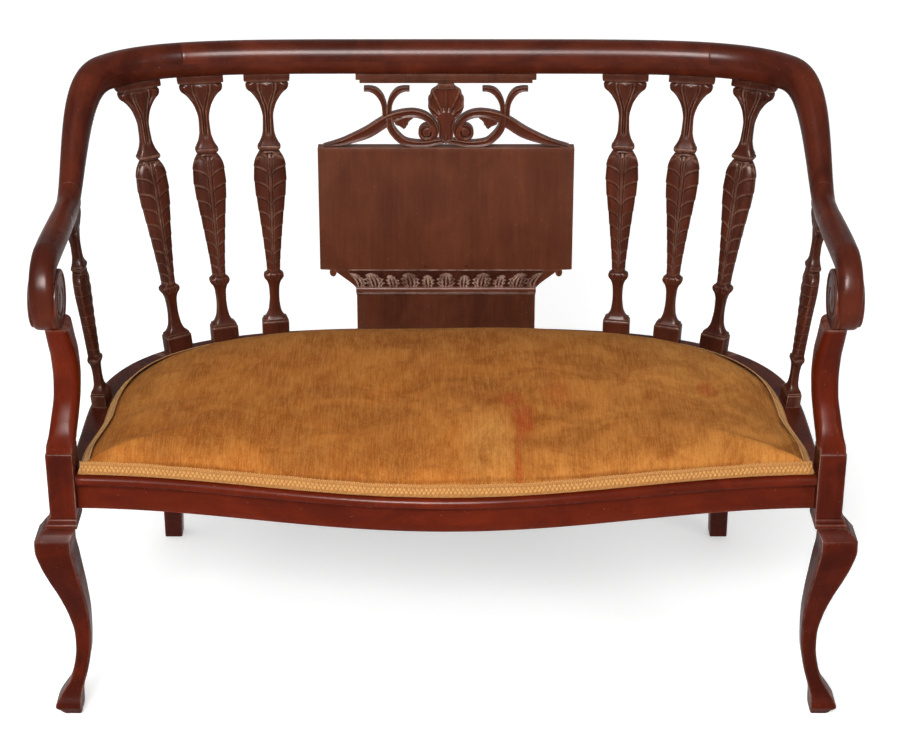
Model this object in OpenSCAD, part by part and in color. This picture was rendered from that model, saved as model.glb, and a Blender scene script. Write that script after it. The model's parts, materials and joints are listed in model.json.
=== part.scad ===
// Two-seat open-back settee: a bow-cornered crest rail that sweeps down into scrolled arms,
// carved flat balusters, a low centre splat, a bowed seat frame and cabriole front legs.
// X runs to the viewer's right, Y to the back and Z up. The origin lies on the floor,
// under the middle of the settee's outline.

/* [Overall] */
// Height of the crest rail's centre line above the floor
crest_mid_h = 828; // [800:1:860]
// Distance between the centre lines of the front legs
front_leg_span = 1055; // [980:1:1160]
// Reach of the rear feet's back faces behind the front leg line
rear_foot_reach = 526; // [515:1:560]

/* [Seat frame] */
// Height of the seat rails' top faces above the floor
seat_rail_h = 388; // [372:1:400]
// Height of a seat rail from its lower face to its top face
rail_height = 56; // [50:1:62]
// Thickness of the side and back seat rails
rail_t = 58; // [54:1:64]
// Reach of the back rail's outer face behind the front leg line
rail_back_reach = 485; // [470:1:500]
// Distance behind the front leg line at which the side rails start to turn in
rail_turn_reach = 150; // [130:1:170]
// Fullness of the seat frame's back corners, where 2 is an ellipse
rail_fullness = 3; // [2.7:0.1:3.4]
// Setting of the side rail's outer face inside the leg's centre line
side_rail_set = 6; // [3:1:10]
// Bow of the front rail's middle in front of its ends
front_bow = 66; // [40:1:80]
// Setting of the front rail's face behind the front leg line at the leg
front_face_set = 3; // [0:1:8]
// Projection of the rounded nosing along the front rail's top edge
nose_out = 14; // [8:1:16]
// Height of the front rail's nosing
nose_h = 15; // [10:1:20]
// Radius of the rounding along the side and back rails' top edge
rail_round = 6; // [3:1:8]

/* [Front legs] */
// Width of the block at the head of a front leg
block_w = 37; // [34:1:42]
// Depth of the block at the head of a front leg, front to back
block_d = 44; // [40:1:50]
// Reach of the leg block in front of the front leg line
block_front = 18; // [15:1:22]
// Height of the leg block above the seat rails' lower face
block_h = 95; // [85:1:105]
// Width of the knee, the widest part of the leg
knee_w = 50; // [44:1:56]

/* [Rear legs] */
// Thickness of a rear leg at the seat rail
rear_leg_top_w = 34; // [30:1:38]
// Thickness of a rear leg at the floor
rear_leg_foot_w = 28; // [24:1:32]
// Distance of the rear leg's top from the settee's middle plane
rear_leg_top_x = 420; // [405:1:430]
// Splay of a rear foot outward from the leg's top
rear_foot_splay = 29; // [10:1:40]

/* [Crest rail and arms] */
// Distance from the middle plane to the crest rail's centre line at the sides
crest_half_span = 531; // [524:1:540]
// Reach of the crest rail's centre line behind the front leg line
crest_back_reach = 490; // [478:1:500]
// Distance behind the front leg line at which the crest's plan curve starts
crest_turn_reach = 160; // [150:1:175]
// Fullness of the crest rail's corners, where 2 is an ellipse
crest_fullness = 5; // [4.4:0.1:5.6]
// Height of the crest rail's section
crest_h = 52; // [46:1:58]
// Depth of the crest rail's section, front to back
crest_d = 45; // [40:1:50]
// Height of the arm's centre line above the floor
arm_mid_h = 696; // [680:1:710]
// Height of the arm's section
arm_h = 45; // [40:1:50]
// Width of the rail where it sweeps down from the crest to the arm
sweep_w = 30; // [27:1:36]
// Width of the arm at its scroll
scroll_w = 34; // [31:1:38]
// Outward set of the scroll from the arm's centre line
scroll_flare = 2; // [0:1:8]
// Distance of the scroll's centre behind the front leg line
scroll_reach = 32; // [26:1:38]
// Radius of the scroll's outline at its top
scroll_r = 72; // [68:1:76]
// Distance behind the front leg line at which the sweep meets the arm's level
sweep_front_reach = 198; // [185:1:215]
// Distance behind the front leg line at which the sweep meets the crest's level
sweep_back_reach = 411; // [395:1:425]

/* [Arm supports] */
// Width of the arm support at its foot
support_w = 36; // [33:1:40]
// Depth of the arm support at its foot, front to back
support_d = 42; // [38:1:48]

/* [Balusters] */
// Width of a baluster's leaf-shaped body at its widest
baluster_w = 50; // [42:1:56]
// Thickness of a baluster
baluster_t = 22; // [18:1:24]
// Setting of the baluster's centre inside the seat rail's outer face
baluster_set = 16; // [14:1:18]
// Distance of the inner balusters' feet from the middle plane
inner_baluster_x = 265; // [255:1:275]
// Distance of the middle balusters' feet from the middle plane
middle_baluster_x = 342; // [334:1:350]
// Distance of the outer balusters' feet from the middle plane
outer_baluster_x = 410; // [402:1:418]
// Distance of the side balusters' feet behind the front leg line
side_baluster_y = 222; // [212:1:230]

/* [Splat] */
// Width of the splat's plain panel
panel_w = 388; // [340:1:410]
// Thickness of the splat's boards
panel_t = 20; // [16:1:22]
// Width of the splat's stem on the seat rail
stem_w = 276; // [250:1:290]
// Height of the stem between the seat rail and the carved moulding
stem_h = 69; // [60:1:76]
// Height of the carved leaf moulding between the stem and the panel
leaf_band_h = 37; // [30:1:42]
// Projection of the carved leaf moulding in front of the panel
leaf_band_out = 8; // [5:1:10]
// Length of the cap board under the crest rail
cap_w = 270; // [250:1:290]
// Height of the cap board under the crest rail
cap_h = 17; // [12:1:20]
// Height of the pierced cresting between the panel and the cap board
cresting_h = 99.4; // [85:0.1:110]
// Thickness of the pierced cresting
cresting_t = 16; // [12:1:18]

/* [Seat] */
// Rise of the seat's crown above its edge
seat_crown = 34; // [24:1:50]
// Height of the seat cover's upright edge above the rails
seat_edge_h = 14; // [12:1:20]
// Thickness of the seat cover's cloth and its wadding
cover_t = 3; // [2:0.5:4]
// Bare ledge of the front rail in front of the braid
front_ledge = 8; // [6:1:14]
// Height of the gimp braid around the seat
braid_h = 18; // [12:1:20]
// Thickness of the gimp braid
braid_t = 3; // [2:0.5:3.5]
// Width of one strap of webbing
strap_w = 50; // [40:1:55]
// Thickness of the webbing
strap_t = 2; // [1.5:0.5:3]
// Thickness of the hessian over the webbing and of the dust cover
hessian_t = 1; // [0.8:0.1:1.5]

/* [Glue blocks and screws] */
// Leg length of a triangular glue block
glue_block_leg = 60; // [50:1:70]
// Height of a glue block
glue_block_h = 38; // [30:1:44]
// Diameter of a screw's shank
screw_d = 4; // [3.5:0.5:5]
// Diameter of a screw's head
screw_head_d = 8; // [7:0.5:9]
// Width of the rail that crosses the seat frame below the webbing
cross_rail_w = 44; // [36:1:50]
// Height of the rail that crosses the seat frame
cross_rail_h = 30; // [24:1:34]

/* [Hidden] */

mahogany = "#5a2417";
dark_mahogany = "#43190f";
velvet = "#b98438";
braid_gold = "#c79a4a";
linen = "#a8926a";
black_cloth = "#2a2624";
steel = "#8f8f8b";

// Running clearance between curved faces, and the overrun of every cut
gap = 0.3;
cut = 2;
// Facets of the round sections
round_sides = 16;
turned_sides = 12;

leg_half = front_leg_span/2;
block_inner_x = leg_half - block_w/2;
block_back = block_d - block_front;
rail_under_h = seat_rail_h - rail_height;
leg_joint_h = rail_under_h + block_h;
rail_half = leg_half - side_rail_set;
rail_curve_reach = rail_back_reach - rail_turn_reach;
crest_curve_reach = crest_back_reach - crest_turn_reach;
front_reach = front_bow + nose_out - front_face_set;
mid_y = (rear_foot_reach - front_reach)/2;
flat_share = 0.85;
crest_under_h = crest_mid_h - flat_share*crest_h/2;
baluster_front = baluster_set + baluster_t/2;
seat_rear_ledge = baluster_front + braid_t + 6*gap;
seat_half = rail_half - seat_rear_ledge;
seat_front_half = block_inner_x - braid_t - 4*gap;
seat_front_y = front_face_set - nose_out + front_ledge + braid_t + gap;
crest_joint_angle = 38.7;
shoulder_joint_angle = 171.4;

// Curves and lofts

function signed_power(v, e) = sign(v)*pow(abs(v), e);
function smooth(u) = let (c = min(max(u, 0), 1)) c*c*(3 - 2*c);
function mix(a, b, u) = a + (b - a)*u;
function unit(v) = v/norm(v);
function fall(table, u, col) = lookup(u, [for (row = table) [row[0], row[col]]]);

// A point of a superellipse with half axes a and b, in the direction of an angle
function oval_point(a, b, n, angle) =
    let (c = cos(angle), s = sin(angle))
    let (r = 1/pow(pow(abs(c)/a, n) + pow(abs(s)/b, n), 1/n))
    [r*c, r*s];

// A flat section of full width w and height h, its fullness n and its number of sides
function section(w, h, n, sides, start = 0) = [for (k = [0:sides - 1])
    let (angle = start + 360*k/sides)
    [w/2*signed_power(cos(angle), 2/n), h/2*signed_power(sin(angle), 2/n)]];

// The same section with its underside planed flat
function planed_section(w, h, n, sides) = [for (p = section(w, h, n, sides))
    [p[0], max(p[1], -flat_share*h/2)]];

// A section placed on a point, across axes u and v
function placed_ring(centre, u, v, flat) = [for (p = flat) centre + p[0]*u + p[1]*v];

// Triangles between rings of m points, and from one ring to a point over it
function side_faces(m, last, first = 0) = [for (i = [0:last - 1], k = [0:m - 1])
    let (a = first + i*m + k, b = a + m, c = first + (i + 1)*m + (k + 1)%m, d = c - m)
    each [[a, b, c], [a, c, d]]];
function fan_faces(m, first, top) = [for (k = [0:m - 1]) [first + k, top, first + (k + 1)%m]];
function turned_over(faces) = [for (f = faces) [f[2], f[1], f[0]]];
function count_up(m) = [for (k = [0:m - 1]) k];

// A solid through rings of equal length; each ring runs anticlockwise seen from the end
module loft(rings) {
    m = len(rings[0]);
    last = len(rings) - 1;
    head = [for (k = [m - 1:-1:0]) last*m + k];
    polyhedron(points = [for (ring = rings) each ring],
        faces = concat(side_faces(m, last), [count_up(m), head]), convexity = 6);
}

// The same solid closed at its end by a fan of triangles around one point
module loft_cap(rings, top) {
    m = len(rings[0]);
    last = len(rings) - 1;
    polyhedron(points = concat([for (ring = rings) each ring], [top]),
        faces = concat(side_faces(m, last), fan_faces(m, last*m, (last + 1)*m), [count_up(m)]),
        convexity = 6);
}

// A skin between two such solids whose first rings lie in one plane
module loft_shell(outer, outer_top, inner, inner_top) {
    m = len(outer[0]);
    last = len(outer) - 1;
    top = (last + 1)*m;
    next = top + 1;
    rim = [for (k = [0:m - 1]) let (a = k, b = (k + 1)%m)
        each [[a, b, next + b], [a, next + b, next + a]]];
    polyhedron(
        points = concat([for (ring = outer) each ring], [outer_top],
            [for (ring = inner) each ring], [inner_top]),
        faces = concat(side_faces(m, last), fan_faces(m, last*m, top), rim,
            turned_over(side_faces(m, last, next)),
            turned_over(fan_faces(m, next + last*m, next + top))), convexity = 6);
}

// Everything is drawn with Y zero on the front leg line, then set about its middle
module in_place() translate([0, -mid_y, 0]) children();
module mirrored(right) mirror([right ? 1 : 0, 0, 0]) children();

// Plan of the seat frame: a point set inside the outer face, at an angle from +X
function rail_plan(inset, angle) = let (p = oval_point(
    rail_half - inset, rail_curve_reach - inset, rail_fullness, angle))
    [p[0], rail_turn_reach + p[1]];
function rail_plan_at_x(inset, x) = let (a = rail_half - inset, b = rail_curve_reach - inset)
    [x, rail_turn_reach + b*pow(1 - pow(abs(x)/a, rail_fullness), 1/rail_fullness)];
function rail_turn_at_x(inset, x) =
    let (a = rail_half - inset, b = rail_curve_reach - inset)
    let (y = rail_plan_at_x(inset, x)[1] - rail_turn_reach)
    -atan(sign(x)*pow(b/a, rail_fullness)*pow(abs(x)/y, rail_fullness - 1));
function front_face_y(x) = front_face_set - front_bow*pow(cos(90*x/leg_half), 2);

// Plan and height of the crest rail, from the right arm round the back to the left arm
function crest_plan(angle) = let (p = oval_point(
    crest_half_span, crest_curve_reach, crest_fullness, angle))
    [p[0], crest_turn_reach + p[1]];
function crest_share(y) =
    smooth((y - sweep_front_reach)/(sweep_back_reach - sweep_front_reach));
function crest_level(y) = mix(arm_mid_h, crest_mid_h, crest_share(y));
function crest_point(angle) = let (p = crest_plan(angle)) [p[0], p[1], crest_level(p[1])];
function crest_section(y) = planed_section(mix(sweep_w, crest_d, crest_share(y)),
    mix(arm_h, crest_h, crest_share(y)), 2.6, round_sides);

// A ring of the crest rail, square to its path
function crest_ring(angle, step) =
    let (p = crest_point(angle), t = unit(crest_point(angle + step) - crest_point(angle - step)))
    let (u = unit(cross([0, 0, 1], t)), v = cross(t, u))
    placed_ring(p, u, v, crest_section(p[1]));

// Crest rail and shoulders

crest_steps = 26;
shoulder_steps = 14;
path_step = 0.5;

module crest_rail_shape() {
    span = 180 - 2*crest_joint_angle;
    loft([for (i = [0:crest_steps])
        crest_ring(crest_joint_angle + span*i/crest_steps, path_step)]);
}

module shoulder_shape() {
    first = 180 - crest_joint_angle;
    span = shoulder_joint_angle - first;
    loft([for (i = [0:shoulder_steps])
        crest_ring(first + span*i/shoulder_steps, path_step)]);
}

// Arm with its scroll, on the left side

scroll_steps = 14;
scroll_end_angle = 265;
scroll_shrink_share = 0.72;
scroll_tail_share = 0.36;
scroll_x = crest_half_span + scroll_flare;
scroll_mid_h = arm_mid_h + arm_h/2 - scroll_r;
scroll_eye_r = scroll_r*0.17;
scroll_recess = scroll_w/12;

// Outline radius of the scroll; the angle runs from its top, over the front and under
function scroll_outline(angle) = scroll_r*(1 - scroll_shrink_share*angle/360);
function scroll_band(angle) = arm_h*mix(1, scroll_tail_share, angle/scroll_end_angle);
function scroll_point(radius, angle) = [scroll_reach - radius*sin(angle),
    scroll_mid_h + radius*cos(angle)];

// Height of the arm's planed underside at a distance behind the front leg line
function arm_slope(y) = atan((crest_level(y + cut) - crest_level(y - cut))/(2*cut));
function arm_depth(y) = flat_share*mix(arm_h, crest_h, crest_share(y))/2;
function arm_under(y) = let (first = y - arm_depth(y)*sin(arm_slope(y)))
    let (p = y - arm_depth(first)*sin(arm_slope(first)))
    crest_level(p) - arm_depth(p)*cos(arm_slope(p));

// Height of the scroll's underside at a distance behind the front leg line
function scroll_under(y) = let (d = y - scroll_reach)
    let (r = scroll_outline(180 + asin(d/(scroll_r*(1 - scroll_shrink_share/2)))))
    scroll_mid_h - sqrt(r*r - d*d);

function arm_side(y) = mix(scroll_x, crest_half_span,
    smooth((y - scroll_reach - arm_h/2)/(crest_turn_reach - scroll_reach)));
function arm_width(y) = mix(scroll_w, sweep_w,
    smooth((y - scroll_reach - arm_h/2)/(sweep_front_reach - scroll_reach)));

function arm_rings() = concat(
    [for (i = [0:4]) crest_ring(mix(shoulder_joint_angle, 180, i/5), path_step)],
    [for (i = [0:5]) let (y = mix(crest_turn_reach, scroll_reach + arm_h/3, i/5))
        placed_ring([-arm_side(y), y, arm_mid_h], [1, 0, 0], [0, 0, 1],
            planed_section(arm_width(y), arm_h, 2.6, round_sides))],
    [for (i = [0:scroll_steps]) let (angle = scroll_end_angle*i/scroll_steps)
        let (band = scroll_band(angle))
        let (p = scroll_point(scroll_outline(angle) - band/2, angle))
        placed_ring([-scroll_x, p[0], p[1]], [1, 0, 0], [0, -sin(angle), cos(angle)],
            section(scroll_w, band, 3, round_sides))]);

module scroll_core(radius, width) {
    outline = [for (angle = [0:15:345]) scroll_point(scroll_outline(angle)*radius, angle)];
    translate([-scroll_x - width/2, 0, 0])
        rotate([90, 0, 90]) linear_extrude(width) polygon(outline);
}

module arm_shape() {
    loft(arm_rings());
    scroll_core(0.9, scroll_w - 2*scroll_recess);
    translate([-scroll_x - scroll_w/2, scroll_reach, scroll_mid_h])
        rotate([0, 90, 0]) cylinder(r = scroll_eye_r, h = scroll_w, $fn = 32);
}

// Arm support: shares of its height, then inward and backward sets and the section's
// width and depth, all as shares of the support's width
support_shares = [
    [0.00, 0.06, 0.00, 1.00, 1.17],
    [0.10, 0.12, 0.10, 0.98, 1.12],
    [0.25, 0.22, 0.42, 0.95, 1.06],
    [0.42, 0.28, 0.74, 0.93, 1.02],
    [0.58, 0.30, 0.88, 0.94, 1.02],
    [0.74, 0.28, 0.84, 0.93, 1.08],
    [0.88, 0.23, 0.66, 0.88, 1.22],
    [1.00, 0.18, 0.52, 0.83, 1.42]];
support_steps = 14;
support_foot_y = block_back - block_d/2;

support_head_h = scroll_mid_h - scroll_outline(180);

function support_x(u) = -leg_half + support_w*fall(support_shares, u, 1);
function support_y(u) = support_foot_y + support_w*fall(support_shares, u, 2);

// The support's head fits the scroll's underside
function support_top(y) = min(scroll_under(y), support_head_h + support_w/3) - gap;
function support_ring(u) =
    let (w = support_w*fall(support_shares, u, 3))
    let (d = support_d*fall(support_shares, u, 4)/support_shares[0][4])
    [for (p = section(w, d, 6, turned_sides, 15))
        let (y = support_y(u) + p[1])
        [support_x(u) + p[0], y,
            mix(leg_joint_h, u < 1 ? support_head_h - gap : support_top(y), u)]];

module arm_support_shape()
    loft_cap([for (i = [0:support_steps]) support_ring(i/support_steps)],
        [support_x(1), support_y(1), support_top(support_y(1))]);

// Front leg, on the left side: shares of the height to the seat rail, then outward and
// forward sets and the width, all as shares of the knee's width, and the fullness
leg_shares = [
    [0.000, 0.18, 0.02, 0.52, 3],
    [0.018, 0.22, 0.04, 0.60, 3],
    [0.062, 0.30, 0.09, 0.69, 3],
    [0.090, 0.29, 0.09, 0.68, 3],
    [0.122, 0.19, 0.05, 0.58, 3],
    [0.160, 0.04, -0.03, 0.47, 3.5],
    [0.210, -0.06, -0.09, 0.42, 4],
    [0.260, -0.13, -0.11, 0.41, 4],
    [0.320, -0.19, -0.11, 0.43, 4],
    [0.400, -0.21, -0.09, 0.46, 4],
    [0.490, -0.17, -0.03, 0.56, 4.5],
    [0.610, -0.04, 0.10, 0.72, 5],
    [0.700, 0.10, 0.20, 0.86, 5],
    [0.790, 0.23, 0.28, 0.97, 5],
    [0.860, 0.31, 0.31, 1.00, 5],
    [0.905, 0.30, 0.29, 0.97, 6],
    [0.926, 0.23, 0.24, 0.91, 7],
    [0.945, 0.10, 0.13, 0.86, 8]];
step_heads_share = [0.945, 0.968, 0.990];
step_sides_share = [0.90, 0.82];
leg_mid_y = block_back - block_d/2;

function leg_ring(row) =
    let (x = -leg_half - knee_w*row[1], y = leg_mid_y - knee_w*row[2], w = knee_w*row[3])
    [for (p = section(w, w, row[4], turned_sides, 15))
        [x + p[0], y + p[1], rail_under_h*row[0]]];

// One square band of the stepped moulding over the knee
module leg_step(index) {
    side = knee_w*step_sides_share[index];
    low = rail_under_h*step_heads_share[index];
    high = rail_under_h*step_heads_share[index + 1];
    deep = side + block_d - block_w;
    translate([-leg_half - side/2, leg_mid_y - deep/2, low])
        cube([side, deep, high - low]);
}

module front_leg_shape() {
    loft([for (row = leg_shares) leg_ring(row)]);
    leg_step(0);
    leg_step(1);
    low = rail_under_h*step_heads_share[2];
    translate([-leg_half - block_w/2, -block_front, low])
        cube([block_w, block_d, leg_joint_h - low]);
}

// Rear leg, on the left side: a square sabre leg that sweeps back to its foot
rear_steps = 10;
rear_sweep_power = 1.35;
rear_leg_top_y = rail_plan_at_x(rail_t/2, rear_leg_top_x)[1];

function rear_ring(u) =
    let (side = mix(rear_leg_foot_w, rear_leg_top_w, u))
    let (x = -rear_leg_top_x - rear_foot_splay*(1 - u))
    let (foot_y = rear_foot_reach - rear_leg_foot_w/2)
    let (y = mix(rear_leg_top_y, foot_y, pow(1 - u, rear_sweep_power)))
    [for (p = section(side, side, 9, turned_sides, 15)) [x + p[0], y + p[1], rail_under_h*u]];

module rear_leg_shape() loft([for (i = [0:rear_steps]) rear_ring(i/rear_steps)]);

// Seat rails

front_rail_steps = 28;
front_back_share = 0.8;

function front_back_y(x) = block_back - front_bow*front_back_share
    *smooth(1 - abs(x)/(0.7*block_inner_x));

// Front rail's section at a distance from the middle plane, anticlockwise from the left
function front_rail_ring(x) =
    let (face = front_face_y(x), back = front_back_y(x), nose = nose_h/2)
    let (nose_mid = seat_rail_h - nose, lip = rail_under_h + nose_out/6)
    concat(
        [[x, back, rail_under_h], [x, back, seat_rail_h]],
        [[x, face, seat_rail_h]],
        [for (angle = [75:-25:-75]) [x, face - (nose_out - nose)*min(1, cos(angle)*4)
            - nose*cos(angle), nose_mid + nose*sin(angle)]],
        [[x, face, seat_rail_h - nose_h - nose_out/6]],
        [[x, face, lip], [x, face + nose_out/6, rail_under_h]]);

module front_seat_rail() color(mahogany) in_place()
    loft([for (i = [0:front_rail_steps])
        front_rail_ring(mix(-block_inner_x, block_inner_x, i/front_rail_steps))]);

// Side and back rails share one section, given as inset from the outer face and height
function rail_profile() = concat(
    [[rail_t, rail_under_h], [rail_round/3, rail_under_h], [0, rail_under_h + rail_round/3]],
    [for (angle = [0:30:90]) [rail_round*(1 - cos(angle)),
        seat_rail_h - rail_round*(1 - sin(angle))]],
    [[rail_t, seat_rail_h]]);
function rail_ring(angle) = [for (q = rail_profile())
    let (p = rail_plan(q[0], angle)) [p[0], p[1], q[1]]];
function straight_rail_ring(y) = [for (q = rail_profile()) [q[0] - rail_half, y, q[1]]];

rear_corner = rail_plan_at_x(rail_t/2, rear_leg_top_x);
corner_angle = atan2(rear_corner[1] - rail_turn_reach, rear_corner[0]);
side_rail_steps = 8;
back_rail_steps = 20;

module side_rail_shape() loft([straight_rail_ring(block_back),
    each [for (i = [0:side_rail_steps]) rail_ring(180 - corner_angle*i/side_rail_steps)]]);

module back_seat_rail() color(mahogany) in_place()
    loft([for (i = [0:back_rail_steps])
        rail_ring(mix(180 - corner_angle, corner_angle, i/back_rail_steps))]);

// Balusters

// Shares of a baluster's height, then its width and thickness as shares of the body's,
// and the fullness of the section
baluster_shares = [
    [0.000, 0.83, 1.00, 12],
    [0.062, 0.83, 1.00, 12],
    [0.068, 0.74, 0.92, 8],
    [0.082, 0.52, 0.74, 5],
    [0.110, 0.36, 0.60, 4],
    [0.155, 0.30, 0.56, 4],
    [0.205, 0.36, 0.62, 4],
    [0.226, 0.52, 0.78, 4],
    [0.236, 0.60, 0.82, 4],
    [0.246, 0.58, 0.82, 4],
    [0.256, 0.41, 0.80, 3],
    [0.360, 0.55, 0.84, 2.6],
    [0.480, 0.74, 0.90, 2.6],
    [0.580, 0.91, 0.96, 2.6],
    [0.650, 1.00, 1.00, 2.6],
    [0.690, 0.93, 1.00, 2.6],
    [0.712, 0.70, 0.90, 3],
    [0.720, 0.70, 0.92, 4],
    [0.740, 0.70, 0.92, 4],
    [0.755, 0.46, 0.72, 4],
    [0.790, 0.34, 0.60, 4],
    [0.840, 0.34, 0.60, 4],
    [0.890, 0.56, 0.66, 4],
    [0.925, 0.96, 0.80, 4],
    [0.948, 1.26, 0.92, 5],
    [0.968, 1.24, 0.92, 6],
    [0.970, 1.38, 1.00, 12],
    [1.000, 1.38, 1.00, 12]];

// Heads of the back balusters: each stands under the crest's centre line
function crest_y(x) = crest_turn_reach + crest_curve_reach
    *pow(1 - pow(abs(x)/crest_half_span, crest_fullness), 1/crest_fullness);
function crest_turn(x) = let (y = crest_y(x) - crest_turn_reach)
    -atan(sign(x)*pow(crest_curve_reach/crest_half_span, crest_fullness)
        *pow(abs(x)/y, crest_fullness - 1));

// Height of the rail's planed underside over a place on the crest's centre line
function crest_under(x) = let (y = crest_y(x))
    crest_level(y) - arm_depth(y)/cos(atan(tan(arm_slope(y))*sin(crest_turn(x))));

// A baluster from its foot [x, y, turn] to its head, whose top fits the rail over it
module baluster(foot, head, on_arm = false) {
    level = on_arm ? arm_under(head[1]) - gap : crest_under(head[0]);
    rings = [for (row = baluster_shares)
        let (u = row[0], turn = mix(foot[2], head[2], u))
        let (x = mix(foot[0], head[0], u), y = mix(foot[1], head[1], u))
        [for (p = section(baluster_w*row[1], baluster_t*row[2], row[3], turned_sides, 15))
            let (q = [x + p[0]*cos(turn) - p[1]*sin(turn), y + p[0]*sin(turn) + p[1]*cos(turn)])
            let (top = on_arm ? arm_under(q[1]) - gap : crest_under(q[0]))
            [q[0], q[1], mix(seat_rail_h, mix(level, top, pow(u, 8)), u)]]];
    loft_cap(rings, [head[0], head[1], level]);
}

inner_head_share = 1.012;
middle_head_share = 1.074;
outer_head_share = 1.117;

module back_baluster(foot_x, head_share) {
    foot = rail_plan_at_x(baluster_set, -foot_x);
    head_x = -foot_x*head_share;
    baluster([foot[0], foot[1], rail_turn_at_x(baluster_set, -foot_x)],
        [head_x, crest_y(head_x), crest_turn(head_x)]);
}

function rail_plan_at_y(inset, y) =
    let (a = rail_half - inset, b = rail_curve_reach - inset)
    a*pow(1 - pow((y - rail_turn_reach)/b, rail_fullness), 1/rail_fullness);

side_head_y = side_baluster_y + baluster_t/3;

module side_baluster_shape() {
    foot_x = -rail_plan_at_y(baluster_set, side_baluster_y);
    baluster([foot_x, side_baluster_y, rail_turn_at_x(baluster_set, foot_x)],
        [-crest_half_span, side_head_y, 90], on_arm = true);
}

// Splat: boards that lean back between the seat rail and the crest rail

splat_foot_y = rail_back_reach - baluster_set;
splat_rise = crest_under_h - seat_rail_h;
splat_lean = atan2(crest_back_reach - splat_foot_y, splat_rise);
splat_len = splat_rise/cos(splat_lean);
leaf_band_low = stem_h;
panel_low = stem_h + leaf_band_h;
panel_high = splat_len - cap_h - cresting_h;

// Stands an upright drawing in the splat's leaning plane, centred on its thickness
module on_splat(thickness, front = 0) translate([0, splat_foot_y, seat_rail_h])
    rotate([-splat_lean, 0, 0]) translate([0, thickness/2 - front, 0])
        rotate([90, 0, 0]) linear_extrude(thickness) children();

// Keeps only what lies between the seat rail's top and the crest rail's underside
module between_rails() intersection() {
    children();
    translate([-rail_half, 0, seat_rail_h])
        cube([2*rail_half, 2*rail_back_reach, splat_rise]);
}

// One smooth step of an outline from point a to point b, leaving and ending upright
function ogee(a, b, steps) = [for (i = [0:steps]) let (u = i/steps)
    [mix(a[0], b[0], smooth(u)), mix(a[1], b[1], u)]];

ear_share = 0.7;
ear_x = mix(panel_w/2, stem_w/2, ear_share);
ear_h = leaf_band_h/8;

function panel_side() = concat(
    [[panel_w/2, panel_high], [panel_w/2, panel_low], [ear_x, panel_low]],
    ogee([ear_x, panel_low - ear_h], [stem_w/2, stem_h + ear_h], 8),
    [[stem_w/2, stem_h]]);

module splat_panel() color(dark_mahogany) in_place() on_splat(panel_t) {
    side = panel_side();
    polygon(concat(side, [for (i = [len(side) - 1:-1:0]) [-side[i][0], side[i][1]]]));
}

module splat_stem() color(mahogany) in_place() between_rails() {
    on_splat(panel_t) translate([-stem_w/2, -cut]) square([stem_w, stem_h + cut]);
    on_splat(panel_t + leaf_band_out/2)
        translate([-stem_w/2, stem_h - leaf_band_out/2]) square([stem_w, leaf_band_out/2]);
}

// Carved leaf moulding: a row of large leaves with small ones between, on a thin backing
large_leaves = 5;
leaf_pitch = stem_w/large_leaves;

module leaf(width, height) {
    tip = width/5;
    polygon([for (angle = [0:15:180]) [width/2*cos(angle)*(1 + sin(angle)/8),
        (height - tip)*sin(angle) + tip*pow(sin(angle), 9)]]);
}

module splat_leaf_moulding() color(mahogany) in_place() {
    backing = leaf_band_out/3;
    width = 2*ear_x - ear_h;
    on_splat(backing, (panel_t + backing)/2)
        translate([-width/2, leaf_band_low]) square([width, leaf_band_h]);
    on_splat(leaf_band_out, (panel_t + leaf_band_out)/2) {
        for (i = [0:large_leaves - 1])
            translate([leaf_pitch*(i - (large_leaves - 1)/2), leaf_band_low])
                leaf(leaf_pitch*0.64, leaf_band_h*0.92);
        for (i = [0:large_leaves - 2])
            translate([leaf_pitch*(i + 1 - (large_leaves - 1)/2), leaf_band_low])
                leaf(leaf_pitch*0.32, leaf_band_h*0.72);
        translate([-width/2, leaf_band_low]) square([width, leaf_band_h*0.16]);
    }
}

// Pierced cresting, drawn in shares of its own height: places, then the ribbon's width
ribbon_shares = [
    [-1.870, 0.010, 0.020], [-1.640, 0.055, 0.075], [-1.470, 0.105, 0.115],
    [-1.190, 0.220, 0.165], [-0.970, 0.360, 0.170], [-0.820, 0.450, 0.150],
    [-0.640, 0.510, 0.125], [-0.460, 0.520, 0.118], [-0.300, 0.465, 0.112],
    [-0.190, 0.350, 0.105], [-0.160, 0.230, 0.095], [-0.200, 0.130, 0.080],
    [-0.290, 0.092, 0.060]];
band_shares = [
    [-0.830, 0.460, 0.100], [-0.820, 0.290, 0.125], [-0.740, 0.165, 0.125],
    [-0.630, 0.080, 0.110], [-0.480, 0.050, 0.095], [-0.310, 0.048, 0.090],
    [-0.130, 0.080, 0.080], [0.000, 0.100, 0.070]];
tip_leaf_shares = [
    [-0.840, 0.470], [-0.760, 0.340], [-0.700, 0.320], [-0.640, 0.280],
    [-0.585, 0.325], [-0.550, 0.400], [-0.480, 0.480]];
bracket_shares = [
    [0.075, 0.460], [0.072, 0.560], [0.092, 0.680], [0.132, 0.770], [0.200, 0.840],
    [0.270, 0.868], [0.342, 0.868], [0.350, 0.930], [0.270, 0.938], [0.205, 0.945],
    [0.160, 0.968], [0.140, 1.000], [0.060, 1.000], [0.038, 0.920], [0.000, 0.820]];
shell_shares = [
    [0.000, 0.060], [0.110, 0.190], [0.110, 0.300], [0.140, 0.420], [0.210, 0.500],
    [0.250, 0.560], [0.275, 0.650], [0.262, 0.720], [0.275, 0.760], [0.240, 0.830],
    [0.235, 0.870], [0.180, 0.910], [0.130, 0.930], [0.120, 1.000], [0.000, 1.000]];
bracket_mid_share = -0.893;
eye_share = [-0.285, 0.228, 0.130];

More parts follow.
